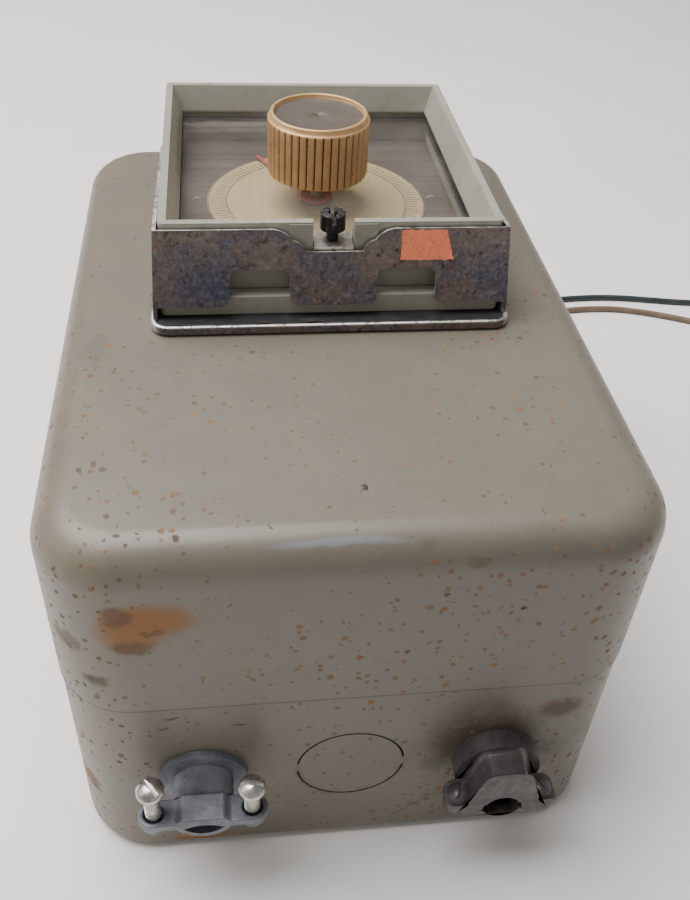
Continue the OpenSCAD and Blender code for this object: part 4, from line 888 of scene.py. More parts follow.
def lathed(profile, steps, name):
    """A closed outline of (radius, height) points turned about Z."""
    shape = bmesh.new()
    rings = []
    for step in range(steps):
        angle = 2 * math.pi * step / steps
        rings.append([shape.verts.new((r * math.cos(angle), r * math.sin(angle), z)) for r, z in profile])
    for step, ring in enumerate(rings):
        following = rings[(step + 1) % steps]
        for i in range(len(profile)):
            j = (i + 1) % len(profile)
            shape.faces.new((ring[i], following[i], following[j], ring[j]))
    bmesh.ops.remove_doubles(shape, verts=shape.verts, dist=0.001 * MM)
    return mesh_from(shape, name)


def smooth_route(points, steps):
    """Points on the curve that passes through the given ones, in metres."""
    points = [Vector(p) * MM for p in points]
    route = []
    last = len(points) - 1
    for i in range(last):
        p = [points[max(0, min(last, i + k))] for k in (-1, 0, 1, 2)]
        for step in range(steps):
            t = step / steps
            route.append(0.5 * (2 * p[1] + (p[2] - p[0]) * t + (2 * p[0] - 5 * p[1] + 4 * p[2] - p[3]) * t * t
                                + (3 * p[1] - p[0] - 3 * p[2] + p[3]) * t ** 3))
    return route + [points[last]]


def tube_mesh(paths, radius, sides, name):
    """Closed tubes along lists of points."""
    shape = bmesh.new()
    for path in paths:
        rings = []
        for i, point in enumerate(path):
            ahead = (path[min(i + 1, len(path) - 1)] - path[max(i - 1, 0)]).normalized()
            across = ahead.cross(Vector((0, 0, 1)) if abs(ahead.z) < 0.9 else Vector((1, 0, 0))).normalized()
            other = ahead.cross(across)
            angles = [2 * math.pi * k / sides for k in range(sides)]
            rings.append([shape.verts.new(point + radius * (math.cos(a) * across + math.sin(a) * other))
                          for a in angles])
        for first, second in zip(rings, rings[1:]):
            for k in range(sides):
                shape.faces.new((first[k], first[(k + 1) % sides], second[(k + 1) % sides], second[k]))
        shape.faces.new(rings[0])
        shape.faces.new(reversed(rings[-1]))
    return mesh_from(shape, name)


# ---------------------------------------------------------------- geometry node trees

def growth_tree(name, inputs):
    """An empty geometry tree with its inputs; returns the tree, its inputs and its last node."""
    tree = bpy.data.node_groups.new(name, "GeometryNodeTree")
    tree.interface.new_socket("Piece", in_out="INPUT", socket_type="NodeSocketGeometry")
    for label, kind, default in inputs:
        tree.interface.new_socket(label, in_out="INPUT", socket_type=kind).default_value = default
    tree.interface.new_socket("Result", in_out="OUTPUT", socket_type="NodeSocketGeometry")
    return tree, tree.nodes.new("NodeGroupInput").outputs, tree.nodes.new("NodeGroupOutput")


def end_tree(tree, sink, geometry, material):
    real = add(tree, "GeometryNodeRealizeInstances", {0: geometry})
    painted = add(tree, "GeometryNodeSetMaterial", {"Geometry": real.outputs[0], "Material": material})
    tree.links.new(painted.outputs[0], sink.inputs[0])
    return tree


def grown(name, mesh, tree, values, material, at=(0, 0, 0), turn=None):
    """The mesh after the tree has worked on it, as a plain object placed in its vertices."""
    obj = linked(name, mesh, material)
    modifier = obj.modifiers.new(tree.name, "NODES")
    modifier.node_group = tree
    for item in tree.interface.items_tree:
        if item.item_type == "SOCKET" and item.in_out == "INPUT" and item.name in values:
            modifier[item.identifier] = values[item.name]
    graph = bpy.context.evaluated_depsgraph_get()
    result = bpy.data.meshes.new_from_object(obj.evaluated_get(graph), depsgraph=graph)
    obj.modifiers.remove(modifier)
    obj.data = result
    result.transform(Matrix.Translation(Vector(at)) @ (turn or Matrix.Identity(4)))
    return obj


def fluting_tree(material):
    """Grooves down the outside of a lathed ring that stands on Z = 0."""
    tree, given, sink = growth_tree("knob_fluting", [
        ("Count", "NodeSocketInt", 40), ("Depth", "NodeSocketFloat", 0.0005),
        ("Radius", "NodeSocketFloat", 0.0177), ("Rim height", "NodeSocketFloat", 0.019)])
    position = add(tree, "GeometryNodeInputPosition").outputs[0]
    axes = add(tree, "ShaderNodeSeparateXYZ", {0: position}).outputs
    angle = maths(tree, "ARCTAN2", axes[1], axes[0])
    turns = maths(tree, "MULTIPLY", maths(tree, "DIVIDE", angle, 2 * math.pi), given["Count"])
    part = maths(tree, "FRACT", maths(tree, "ADD", turns, 1000.0))
    closeness = maths(tree, "MULTIPLY", maths(tree, "ABSOLUTE", maths(tree, "SUBTRACT", part, 0.5)), 2.0)
    groove = between(tree, closeness, 0.70, 0.97)
    flat = vector_maths(tree, "MULTIPLY", position, (1, 1, 0))
    reach = vector_maths(tree, "LENGTH", flat, (0, 0, 0))
    outside = between(tree, maths(tree, "SUBTRACT", given["Radius"], reach), 0.00012, 0.00005)
    below = between(tree, maths(tree, "SUBTRACT", given["Rim height"], axes[2]), 0.0, 0.0005)
    depth = maths(tree, "MULTIPLY", maths(tree, "MULTIPLY", groove, outside), below)
    depth = maths(tree, "MULTIPLY", maths(tree, "MULTIPLY", depth, given["Depth"]), -1.0)
    inwards = vector_maths(tree, "NORMALIZE", flat, (0, 0, 0))
    offset = add(tree, "ShaderNodeVectorMath", {0: inwards, "Scale": depth}, operation="SCALE").outputs[0]
    moved = add(tree, "GeometryNodeSetPosition", {"Geometry": given["Piece"], "Offset": offset})
    return end_tree(tree, sink, moved.outputs[0], material)


def ticks_tree(material):
    """Printed radial ticks between two radii, every fifth one longer."""
    tree, given, sink = growth_tree("scale_ticks", [
        ("Count", "NodeSocketInt", 120), ("Inner radius", "NodeSocketFloat", 0.0334),
        ("Long", "NodeSocketFloat", 0.0062), ("Short", "NodeSocketFloat", 0.0046),
        ("Width", "NodeSocketFloat", 0.00026), ("Thickness", "NodeSocketFloat", 0.00004)])
    points = add(tree, "GeometryNodeMeshCircle", {"Vertices": given["Count"], "Radius": 1.0})
    index = add(tree, "GeometryNodeInputIndex").outputs[0]
    fifth = maths(tree, "LESS_THAN", maths(tree, "MODULO", index, 5.0), 0.5)
    reach = maths(tree, "SUBTRACT", given["Long"], given["Short"])
    size = maths(tree, "ADD", given["Short"], maths(tree, "MULTIPLY", fifth, reach))
    angle = maths(tree, "DIVIDE", maths(tree, "MULTIPLY", index, 2 * math.pi), given["Count"])
    turn = add(tree, "ShaderNodeCombineXYZ", {2: angle}).outputs[0]
    middle = maths(tree, "ADD", given["Inner radius"], maths(tree, "MULTIPLY", size, 0.5))
    position = add(tree, "GeometryNodeInputPosition").outputs[0]
    place = add(tree, "ShaderNodeVectorMath", {0: position, "Scale": middle}, operation="SCALE").outputs[0]
    points = add(tree, "GeometryNodeSetPosition", {"Geometry": points.outputs[0], "Position": place})
    tick = add(tree, "GeometryNodeMeshCube")
    scale = add(tree, "ShaderNodeCombineXYZ", {0: size, 1: given["Width"], 2: given["Thickness"]}).outputs[0]
    copies = add(tree, "GeometryNodeInstanceOnPoints", {
        "Points": points.outputs[0], "Instance": tick.outputs[0], "Rotation": turn, "Scale": scale})
    return end_tree(tree, sink, copies.outputs[0], material)


def winding_tree(material):
    """A round wire wound into a helix about Z."""
    tree, given, sink = growth_tree("wound_wire", [
        ("Turns", "NodeSocketFloat", 8.0), ("Radius", "NodeSocketFloat", 0.002),
        ("Height", "NodeSocketFloat", 0.008), ("Wire", "NodeSocketFloat", 0.0002),
        ("Steps", "NodeSocketInt", 20)])
    helix = add(tree, "GeometryNodeCurveSpiral", {
        "Resolution": given["Steps"], "Rotations": given["Turns"], "Start Radius": given["Radius"],
        "End Radius": given["Radius"], "Height": given["Height"]})
    wire = add(tree, "GeometryNodeCurvePrimitiveCircle", {"Resolution": 6, "Radius": given["Wire"]})
    solid = add(tree, "GeometryNodeCurveToMesh", {
        "Curve": helix.outputs[0], "Profile Curve": wire.outputs[0], "Fill Caps": True})
    return end_tree(tree, sink, solid.outputs[0], material)


def corners_tree(material):
    """Copies of the piece at the corners of a rectangle."""
    tree, given, sink = growth_tree("corner_copies", [
        ("Across", "NodeSocketFloat", 0.08), ("Along", "NodeSocketFloat", 0.08)])
    points = add(tree, "GeometryNodeMeshGrid", {
        "Size X": given["Across"], "Size Y": given["Along"], "Vertices X": 2, "Vertices Y": 2})
    copies = add(tree, "GeometryNodeInstanceOnPoints", {
        "Points": points.outputs[0], "Instance": given["Piece"]})
    return end_tree(tree, sink, copies.outputs[0], material)


# ---------------------------------------------------------------- operators

class TIMERBOX_OT_stage(bpy.types.Operator):
    """Adds the camera, the pale floor and the soft studio light"""
    bl_idname = "timerbox.stage"
    bl_label = "Stage"

    def execute(self, context):
        self.camera(context.scene)
        reach = 4.0
        mesh = bpy.data.meshes.new("pale_floor")
        mesh.from_pydata([(-reach, -reach, 0), (reach, -reach, 0), (reach, reach, 0), (-reach, reach, 0)],
                         [], [(0, 1, 2, 3)])
        linked("pale_floor", mesh, once(pale_floor))
        self.light("sky_panel", (-0.45, 0.25, 1.45), 1.4, 47.0)
        self.light("left_panel", (-1.3, -0.15, 0.8), 1.1, 3.5)
        world = bpy.data.worlds.new("soft_studio")
        world.use_nodes = True
        background = world.node_tree.nodes["Background"]
        background.inputs["Color"].default_value = (1.0, 0.985, 0.96, 1.0)
        background.inputs["Strength"].default_value = 0.35
        context.scene.world = world
        return {"FINISHED"}

    def camera(self, scene):
        view = scene.timer_view
        forward = Vector((math.sin(view.heading) * math.cos(view.dip),
                          math.cos(view.heading) * math.cos(view.dip), -math.sin(view.dip)))
        right = Vector((math.cos(view.heading), -math.sin(view.heading), 0))
        up = right.cross(forward)
        turned_right = math.cos(view.roll) * right + math.sin(view.roll) * up
        turned_up = math.cos(view.roll) * up - math.sin(view.roll) * right
        data = bpy.data.cameras.new("timer_camera")
        data.lens = view.lens
        camera = bpy.data.objects.new("timer_camera", data)
        scene.collection.objects.link(camera)
        turn = Matrix((turned_right, turned_up, -forward)).transposed().to_4x4()
        camera.matrix_world = Matrix.Translation(Vector(view.place)) @ turn
        scene.camera = camera

    def light(self, name, place, size, power):
        data = bpy.data.lights.new(name, "AREA")
        data.shape = "DISK"
        data.size = size
        data.energy = power
        lamp = bpy.data.objects.new(name, data)
        lamp.location = place
        lamp.rotation_euler = (-Vector(place)).to_track_quat("-Z", "Y").to_euler()
        bpy.context.scene.collection.objects.link(lamp)


class TIMERBOX_OT_leads(bpy.types.Operator):
    """Lays the two leads on the floor, with their stripped ends and the bushing"""
    bl_idname = "timerbox.leads"
    bl_label = "Leads"

    def execute(self, context):
        refined("lead_bushing", soft_rubber, 0.4 * MM, "enclosure", "lead_bushing_rubber",
                "gasket_rubber")
        leads = (("black_lead", BLACK_ROUTE, black_insulation, "black_insulation"),
                 ("tan_lead", TAN_ROUTE, tan_insulation, "tan_insulation"))
        for name, points, material, slot in leads:
            route = smooth_route(points, ROUTE_STEPS)
            strands = self.strands(name, route)
            curve = bpy.data.curves.new(name + "_wire", "CURVE")
            curve.dimensions = "3D"
            spline = curve.splines.new("POLY")
            spline.points.add(len(route) - 1)
            for point, place in zip(spline.points, route):
                point.co = (*place, 1)
            curve.bevel_depth = LEAD_DIAMETER / 2
            curve.bevel_resolution = 4
            curve.use_fill_caps = True
            wire = linked(name + "_wire", curve, once(material))
            finish_piece(wire, "enclosure", slot, name)
        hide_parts("lead_ends")
        return {"FINISHED"}

    def strands(self, name, route):
        """Seven fine wires twisted together at the stripped end."""
        end = route[-1]
        ahead = (end - route[-2]).normalized()
        across = ahead.cross(Vector((0, 0, 1))).normalized()
        other = ahead.cross(across)
        fine = STRAND_DIAMETER / 6
        steps = 16
        rooted = 0.3 * MM
        paths = [[end + ahead * (STRIPPED_LENGTH * (i / steps) - rooted * (i == 0))
                  for i in range(steps + 1)]]
        for k in range(6):
            path = []
            for i in range(steps + 1):
                angle = 2 * math.pi * (k / 6 + 0.9 * i / steps)
                side = math.cos(angle) * across + math.sin(angle) * other
                path.append(end + ahead * STRIPPED_LENGTH * (i / steps) + side * 2 * fine)
            paths.append(path)
        obj = linked(name + "_strands", tube_mesh(paths, fine, 8, name + "_strands"), once(strand_copper))
        finish_piece(obj, "enclosure", "copper_strand")
        return obj


class TIMERBOX_OT_enclosure(bpy.types.Operator):
    """Finishes the back box, the cover, their brackets and screws"""
    bl_idname = "timerbox.enclosure"
    bl_label = "Enclosure"

    def execute(self, context):
        sizes = context.scene.timer_sizes
        refined("back_box", enclosure_paint, 1.4 * sizes.sheet_softness, "enclosure", "back_box_shell",
                "enclosure_paint")
        refined("cover", enclosure_paint, 1.4 * sizes.sheet_softness, "enclosure", "cover_shell",
                "enclosure_paint")
        refined("cover_brackets", enclosure_paint, sizes.sheet_softness, "enclosure", "bracket_tabs",
                "enclosure_paint")
        refined("cover_screws", aged_steel, sizes.fine_softness, "enclosure", "side_screws", "aged_steel")
        refined("panel_gasket", soft_rubber, sizes.fine_softness, "enclosure", "panel_seal", "gasket_rubber")
        return {"FINISHED"}


class TIMERBOX_OT_timer_frame(bpy.types.Operator):
    """Finishes the plated frame, its gasket and collar, and the torn label"""
    bl_idname = "timerbox.timer_frame"
    bl_label = "Timer frame"

    def execute(self, context):
        sizes = context.scene.timer_sizes
        refined("timer_frame", tarnished_plate, 0.22 * MM, "enclosure", "plated_frame", "tarnished_plate", 3)
        refined("frame_nuts", aged_steel, sizes.fine_softness, "enclosure", "frame_studs", "aged_steel")
        refined("timer_collar", bezel_moulding, sizes.moulded_softness, "enclosure", "grey_collar",
                "bezel_grey")
        refined("timer_case", case_enamel, sizes.sheet_softness, "enclosure", "timer_can", "case_steel")
        self.torn_gasket()
        self.torn_label()
        return {"FINISHED"}

    def torn_gasket(self):
        """A rubber ring with a slightly ragged outer edge."""
        low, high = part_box("timer_gasket")
        width = 9 * MM
        shape = bmesh.new()
        corners = ((low.x, low.y), (high.x, low.y), (high.x, high.y), (low.x, high.y))
        inset = (1, 1), (-1, 1), (-1, -1), (1, -1)
        steps = 90
        outer, inner = [], []
        for i in range(4):
            a, b = Vector((*corners[i], 0)), Vector((*corners[(i + 1) % 4], 0))
            ai = a + Vector((*inset[i], 0)) * width
            bi = b + Vector((*inset[(i + 1) % 4], 0)) * width
            for k in range(steps):
                place = a.lerp(b, k / steps)
                within = ai.lerp(bi, k / steps)
                tear = max(0.0, noise.noise(place * 90) - 0.12) * 2.2 * MM
                tear += abs(noise.noise(place * 700)) * 0.18 * MM
                outer.append(place + (within - place).normalized() * tear)
                inner.append(within)
        rings = []
        for z, line in ((low.z, outer), (high.z, outer), (high.z, inner), (low.z, inner)):
            rings.append([shape.verts.new((p.x, p.y, z)) for p in line])
        count = len(outer)
        for ring, following in zip(rings, rings[1:] + rings[:1]):
            for k in range(count):
                shape.faces.new((ring[k], ring[(k + 1) % count], following[(k + 1) % count], following[k]))
        obj = linked("torn_gasket", mesh_from(shape, "torn_gasket", False), once(soft_rubber))
        soften(obj, 0.15 * MM, 2, 50.0)
        finish_piece(obj, "enclosure", "gasket_rubber", "timer_gasket")

    def torn_label(self):
        """Torn paper on the sloping plate, with ragged edges and a lifted corner."""
        low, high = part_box("label_remnant")
        rows, columns = 22, 34
        slope = Vector((0, -math.sin(PLATE_LEAN), -math.cos(PLATE_LEAN)))
        outwards = Vector((0, -math.cos(PLATE_LEAN), math.sin(PLATE_LEAN)))
        tall = (high.z - low.z) / math.cos(PLATE_LEAN)
        plate_y = high.y - 0.02 * MM
        shape = bmesh.new()
        layers = []
        for lift in (0.0, 0.14 * MM):
            grid = []
            for r in range(rows + 1):
                line = []
                for c in range(columns + 1):
                    u, v = c / columns, r / rows
                    left = 0.2 * MM + 0.35 * MM * noise.noise(Vector((0, v * 6, 1)))
                    right = -(1 - v) * 2.6 * MM + 0.5 * MM * noise.noise(Vector((4, v * 8, 2)))
                    x = (low.x + left) * (1 - u) + (high.x + right) * u
                    down = v * (tall - (0.5 * MM) * noise.noise(Vector((u * 9, 7, 3))) - 0.35 * MM)
                    down += (1 - v) * 0.3 * MM * (1 + noise.noise(Vector((u * 8, 2, 5))))
                    curl = 0.5 * MM * max(0.0, u - 0.86) * max(0.0, v - 0.7) / 0.042 * 0.6
                    height = lift + 0.05 * MM + 0.03 * MM * noise.noise(Vector((u * 5, v * 4, 9))) + curl
                    base = Vector((x, plate_y, high.z))
                    line.append(shape.verts.new(base + slope * down + outwards * height))
                grid.append(line)
            layers.append(grid)
        for layer in layers:
            for r in range(rows):
                for c in range(columns):
                    shape.faces.new((layer[r][c], layer[r][c + 1], layer[r + 1][c + 1], layer[r + 1][c]))
        rim = [(0, c) for c in range(columns)] + [(r, columns) for r in range(rows)]
        rim += [(rows, c) for c in range(columns, 0, -1)] + [(r, 0) for r in range(rows, 0, -1)]
        for (r, c), (r2, c2) in zip(rim, rim[1:] + rim[:1]):
            shape.faces.new((layers[0][r][c], layers[0][r2][c2], layers[1][r2][c2], layers[1][r][c]))
        obj = linked("torn_label", mesh_from(shape, "torn_label", False), once(label_paper))
        finish_piece(obj, "enclosure", "orange_label", "label_remnant")


class TIMERBOX_OT_bezel(bpy.types.Operator):
    """Finishes the bezel, its window and the seal under the window"""
    bl_idname = "timerbox.bezel"
    bl_label = "Bezel and window"

    def execute(self, context):
        sizes = context.scene.timer_sizes
        refined("bezel", bezel_moulding, sizes.moulded_softness, "timer_module", "bezel_moulding",
                "bezel_grey", 3)
        refined("window", clear_window, sizes.fine_softness, "timer_module", "clear_pane", "window_clear")
        refined("window_gasket", soft_rubber, sizes.fine_softness, "timer_module", "window_seal",
                "gasket_rubber")
        return {"FINISHED"}


class TIMERBOX_OT_dial(bpy.types.Operator):
    """Makes the dial plate, the printed scale and the hand"""
    bl_idname = "timerbox.dial"
    bl_label = "Dial"

    def execute(self, context):
        sizes = context.scene.timer_sizes
        refined("dial_plate", dial_enamel, sizes.fine_softness, "timer_module", "dial_face", "dial_taupe")
        refined("scale_disc", printed_disc, sizes.fine_softness, "timer_module", "scale_face", "disc_cream")
        refined("set_pointer", pointer_red, sizes.fine_softness, "knob", "red_hand", "pointer_red")
        low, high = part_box("scale_disc")
        centre = (low + high) / 2
        radius = (high.x - low.x) / 2
        thick = sizes.print_thickness
        at = (centre.x, centre.y, high.z + thick / 2)
        inner = radius - 7.2 * MM
        ticks = grown("scale_ticks", bpy.data.meshes.new("scale_ticks"), ticks_tree(once(scale_ink)),
                      {"Count": sizes.ticks, "Inner radius": inner, "Thickness": thick},
                      once(scale_ink), at)
        finish_piece(ticks, "timer_module", "disc_cream")
        for name, r in (("inner_circle", inner), ("outer_circle", radius - 0.35 * MM)):
            half = 0.11 * MM
            line = lathed(((r - half, 0), (r + half, 0), (r + half, thick), (r - half, thick)), 180, name)
            line.transform(Matrix.Translation((centre.x, centre.y, high.z)))
            finish_piece(linked(name, line, once(scale_ink)), "timer_module", "disc_cream")
        self.marks(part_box("dial_plate")[1].z)
        return {"FINISHED"}

    def marks(self, z):
        """Two small pale arcs on the plate, either side of the scale."""
        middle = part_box("scale_disc")
        x = (middle[0].x + middle[1].x) / 2
        y = (middle[0].y + middle[1].y) / 2
        paths = []
        for side in (-1, 1):
            centre = Vector((x + side * 44.2 * MM, y + 2.5 * MM, z + 0.06 * MM))
            paths.append([centre + 1.5 * MM * Vector((math.cos(a), math.sin(a), 0))
                          for a in (math.radians(40 + 20 * k) for k in range(8))])
        obj = linked("dial_marks", tube_mesh(paths, 0.14 * MM, 6, "dial_marks"), once(mark_white))
        finish_piece(obj, "timer_module", "dial_taupe")


class TIMERBOX_OT_knob(bpy.types.Operator):
    """Makes the fluted knob ring, its spun cap and the shaft"""
    bl_idname = "timerbox.knob"
    bl_label = "Knob"

    def execute(self, context):
        sizes = context.scene.timer_sizes
        low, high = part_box("knob")
        radius = (high.x - low.x) / 2
        tall = high.z - low.z
        neck = radius - 0.9 * MM
        cup = neck - 1.4 * MM
        hole = (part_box("knob_shaft")[1].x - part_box("knob_shaft")[0].x) / 2
        recess = high.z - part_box("knob_cap")[0].z
        floor = 5 * MM
        rim = tall - 2.2 * MM
        wall = [(radius, rim * i / 26) for i in range(1, 27)]
        top = [(radius - 0.3 * MM, rim + 0.2 * MM), (neck, rim + 0.42 * MM), (neck, tall - 0.6 * MM),
               (neck - 0.14 * MM, tall - 0.18 * MM), (neck - 0.45 * MM, tall), (cup + 0.45 * MM, tall),
               (cup + 0.14 * MM, tall - 0.14 * MM), (cup, tall - 0.5 * MM)]
        outline = [(hole, floor), (cup, floor), (cup, 0.3 * MM), (cup + 0.3 * MM, 0), (radius - 0.25 * MM, 0),
                   *wall, *top, (cup, tall - recess), (hole, tall - recess)]
        ring = lathed(outline, sizes.flutes * 12, "fluted_ring")
        paint = once(knob_moulding)
        knob = grown("fluted_ring", ring, fluting_tree(paint),
                     {"Count": sizes.flutes, "Depth": sizes.flute_depth, "Radius": radius, "Rim height": rim},
                     paint, ((low.x + high.x) / 2, (low.y + high.y) / 2, low.z))
        finish_piece(knob, "knob", "knob_tan", "knob")
        self.cap()
        refined("knob_shaft", rubbed_steel, sizes.fine_softness, "knob", "knob_spindle", "bright_steel")
        refined("shaft_bushing", contact_brass, sizes.fine_softness, "timer_module", "brass_bushing",
                "contact_brass")
        return {"FINISHED"}

    def cap(self):
        """A shallow dished cap with a rolled edge."""
        low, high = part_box("knob_cap")
        radius = (high.x - low.x) / 2
        tall = high.z - low.z
        profile = [(0.02 * MM, 0), (radius - 0.1 * MM, 0), (radius, 0.1 * MM), (radius, tall - 0.3 * MM),
                   (radius - 0.1 * MM, tall - 0.08 * MM), (radius - 0.35 * MM, tall),
                   (radius - 0.8 * MM, tall - 0.05 * MM), (radius - 1.2 * MM, tall - 0.16 * MM),
                   (radius * 0.6, tall - 0.22 * MM), (radius * 0.3, tall - 0.2 * MM),
                   (0.02 * MM, tall - 0.18 * MM)]
        cap = lathed(profile, 180, "spun_cap")
        cap.transform(Matrix.Translation(((low.x + high.x) / 2, (low.y + high.y) / 2, low.z)))
        finish_piece(linked("spun_cap", cap, once(spun_cap)), "knob", "knob_metal", "knob_cap")


class TIMERBOX_OT_latch(bpy.types.Operator):
    """Finishes the captive screw, its bracket and the lug it enters"""
    bl_idname = "timerbox.latch"
    bl_label = "Captive screw"

    def execute(self, context):
        fine = context.scene.timer_sizes.fine_softness
        refined("captive_screw", black_oxide, 2 * fine, "captive_screw", "slotted_captive_screw",
                "black_screw", 3)
        refined("latch_bracket", rubbed_steel, 2 * fine, "timer_module", "bright_bracket", "bright_steel", 3)
        refined("lock_nut", aged_steel, fine, "enclosure", "screw_lug", "bright_steel")
        return {"FINISHED"}


class TIMERBOX_OT_clamps(bpy.types.Operator):
    """Finishes both cable clamps with their screws and locknuts"""
    bl_idname = "timerbox.clamps"
    bl_label = "Cable clamps"

    def execute(self, context):
        sizes = context.scene.timer_sizes
        cast = sizes.cast_softness
        self.left_casting(cast)
        refined("left_clamp_strap", left_clamp_zinc, cast, "left_strap", "left_strap_bar", "zinc_clamp", 3)
        refined("left_clamp_screws", screw_zinc, 0.18 * MM, "enclosure", "left_bright_screws", "bright_steel")
        refined("left_locknut", aged_steel, 0.3 * MM, "enclosure", "left_ring_nut", "aged_steel")
        self.right_casting(cast)
        self.saddle()
        refined("right_clamp_screws", right_clamp_oxide, 0.18 * MM, "enclosure", "right_dark_screws",
                "dark_clamp")
        refined("right_locknut", aged_steel, 0.3 * MM, "enclosure", "right_ring_nut", "aged_steel")
        self.threads(sizes)
        return {"FINISHED"}

    def left_casting(self, softness):
        """The left body, with the roof of its throat sloping down to the strap."""
        body = refined("left_clamp_body", left_clamp_zinc, softness, "enclosure", "left_casting",
                       "zinc_clamp", 3)
        low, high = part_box("left_locknut")
        middle = (low.z + high.z) / 2
        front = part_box("left_clamp_strap")[1].y + 1 * MM
        for vertex in body.data.vertices:
            above = vertex.co.z - middle
            if above > 0 and vertex.co.y < front:
                vertex.co.z = middle + 0.24 * above

    def right_casting(self, softness):
        """The right body, with its ears tapering towards their ends underneath."""
        body = refined("right_clamp_body", right_clamp_oxide, softness, "enclosure", "right_casting",
                       "dark_clamp", 3)
        low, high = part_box("right_clamp_strap")
        middle = (low.x + high.x) / 2
        for vertex in body.data.vertices:
            under = low.z - vertex.co.z
            if under > 5.5 * MM and vertex.co.y < high.y and abs(vertex.co.x - middle) > 9 * MM:
                vertex.co.z += 3.6 * MM

    def saddle(self):
        """The cast saddle over the cable: two ears and a rounded hump, with rolled edges."""
        low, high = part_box("right_clamp_strap")
        centre = Vector(((low.x + high.x) / 2, (low.y + high.y) / 2, low.z))
        half, width, tall = (high.x - low.x) / 2, high.y - low.y, high.z - low.z
        ear = 3.2 * MM
        end = half - width / 2
        upper = []
        for k in range(61):
            x = half * (1 - 2 * k / 60)
            rise = max(0.0, min(1.0, (11.2 * MM - abs(x)) / (6.2 * MM)))
            rise = rise * rise * (3 - 2 * rise)
            crown = 0.7 * MM * min(1.0, (x / (6 * MM)) ** 2)
            upper.append((x, ear + (tall - ear) * rise - crown * rise))
        arch_r, arch_z = 7.2 * MM, 1.6 * MM
        start = math.asin(-arch_z / arch_r)
        arch = [(-arch_r * math.cos(a), arch_z + arch_r * math.sin(a))
                for a in (start + (math.pi - 2 * start) * k / 24 for k in range(25))]
        outline = [Vector(p) for p in [*upper, (-half, 0), *arch, (half, 0)]]
        count = len(outline)
        normals = []
        for k in range(count):
            along = (outline[(k + 1) % count] - outline[k - 1]).normalized()
            normals.append(Vector((along.y, -along.x)))
        roll, steps = 1.7 * MM, 6
        spots = [(-width / 2 + roll * (1 - math.cos(math.pi / 2 * k / steps)),
                  roll * (1 - math.sin(math.pi / 2 * k / steps))) for k in range(steps + 1)]
        spots += [(width / 2 - (y + width / 2), inset) for y, inset in reversed(spots)]
        shape = bmesh.new()
        rings = []
        for y, inset in spots:
            shrink = math.sqrt(max(0.0, 1 - (2 * y / width) ** 2))
            ring = []
            for place, normal in zip(outline, normals):
                x, z = place + normal * min(inset, 0.9 * MM if place.y < 4 * MM else inset)
                if abs(x) > end:
                    x = math.copysign(end + (abs(x) - end) * (0.15 + 0.85 * shrink), x)
                ring.append(shape.verts.new(centre + Vector((x, y, max(z, 0.0)))))
            rings.append(ring)
        for first, second in zip(rings, rings[1:]):
            for k in range(count):
                shape.faces.new((first[k], first[(k + 1) % count], second[(k + 1) % count], second[k]))
        for ring in (rings[0], rings[-1]):
            shape.faces.new(ring)
        bmesh.ops.triangulate(shape, faces=[f for f in shape.faces if len(f.verts) > 4])
        obj = linked("right_saddle", mesh_from(shape, "right_saddle"), once(right_clamp_oxide))
        obj.data.set_sharp_from_angle(angle=math.radians(38))
        finish_piece(obj, "enclosure", "dark_clamp", "right_clamp_strap")

    def threads(self, sizes):
        """Rolled threads on the two screws that stand out of the left strap."""
        low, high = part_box("left_clamp_screws")
        strap_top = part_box("left_clamp_strap")[0].z + 3.3 * MM
        tall = high.z - 3.9 * MM - strap_top
        middle = (low + high) / 2
        tree = winding_tree(once(screw_zinc))
        for side, name, lower in ((-15 * MM, "outer", 0.0), (15 * MM, "inner", 2.4 * MM)):
            at = (middle.x + side, middle.y, strap_top + 0.2 * MM)
            thread = grown("screw_thread_" + name, bpy.data.meshes.new("screw_thread"), tree,
                           {"Turns": (tall - lower) / sizes.thread_pitch, "Radius": 2.4 * MM,
                            "Height": tall - lower, "Wire": 0.13 * MM, "Steps": 24}, once(screw_zinc), at)
            finish_piece(thread, "enclosure", "bright_steel")


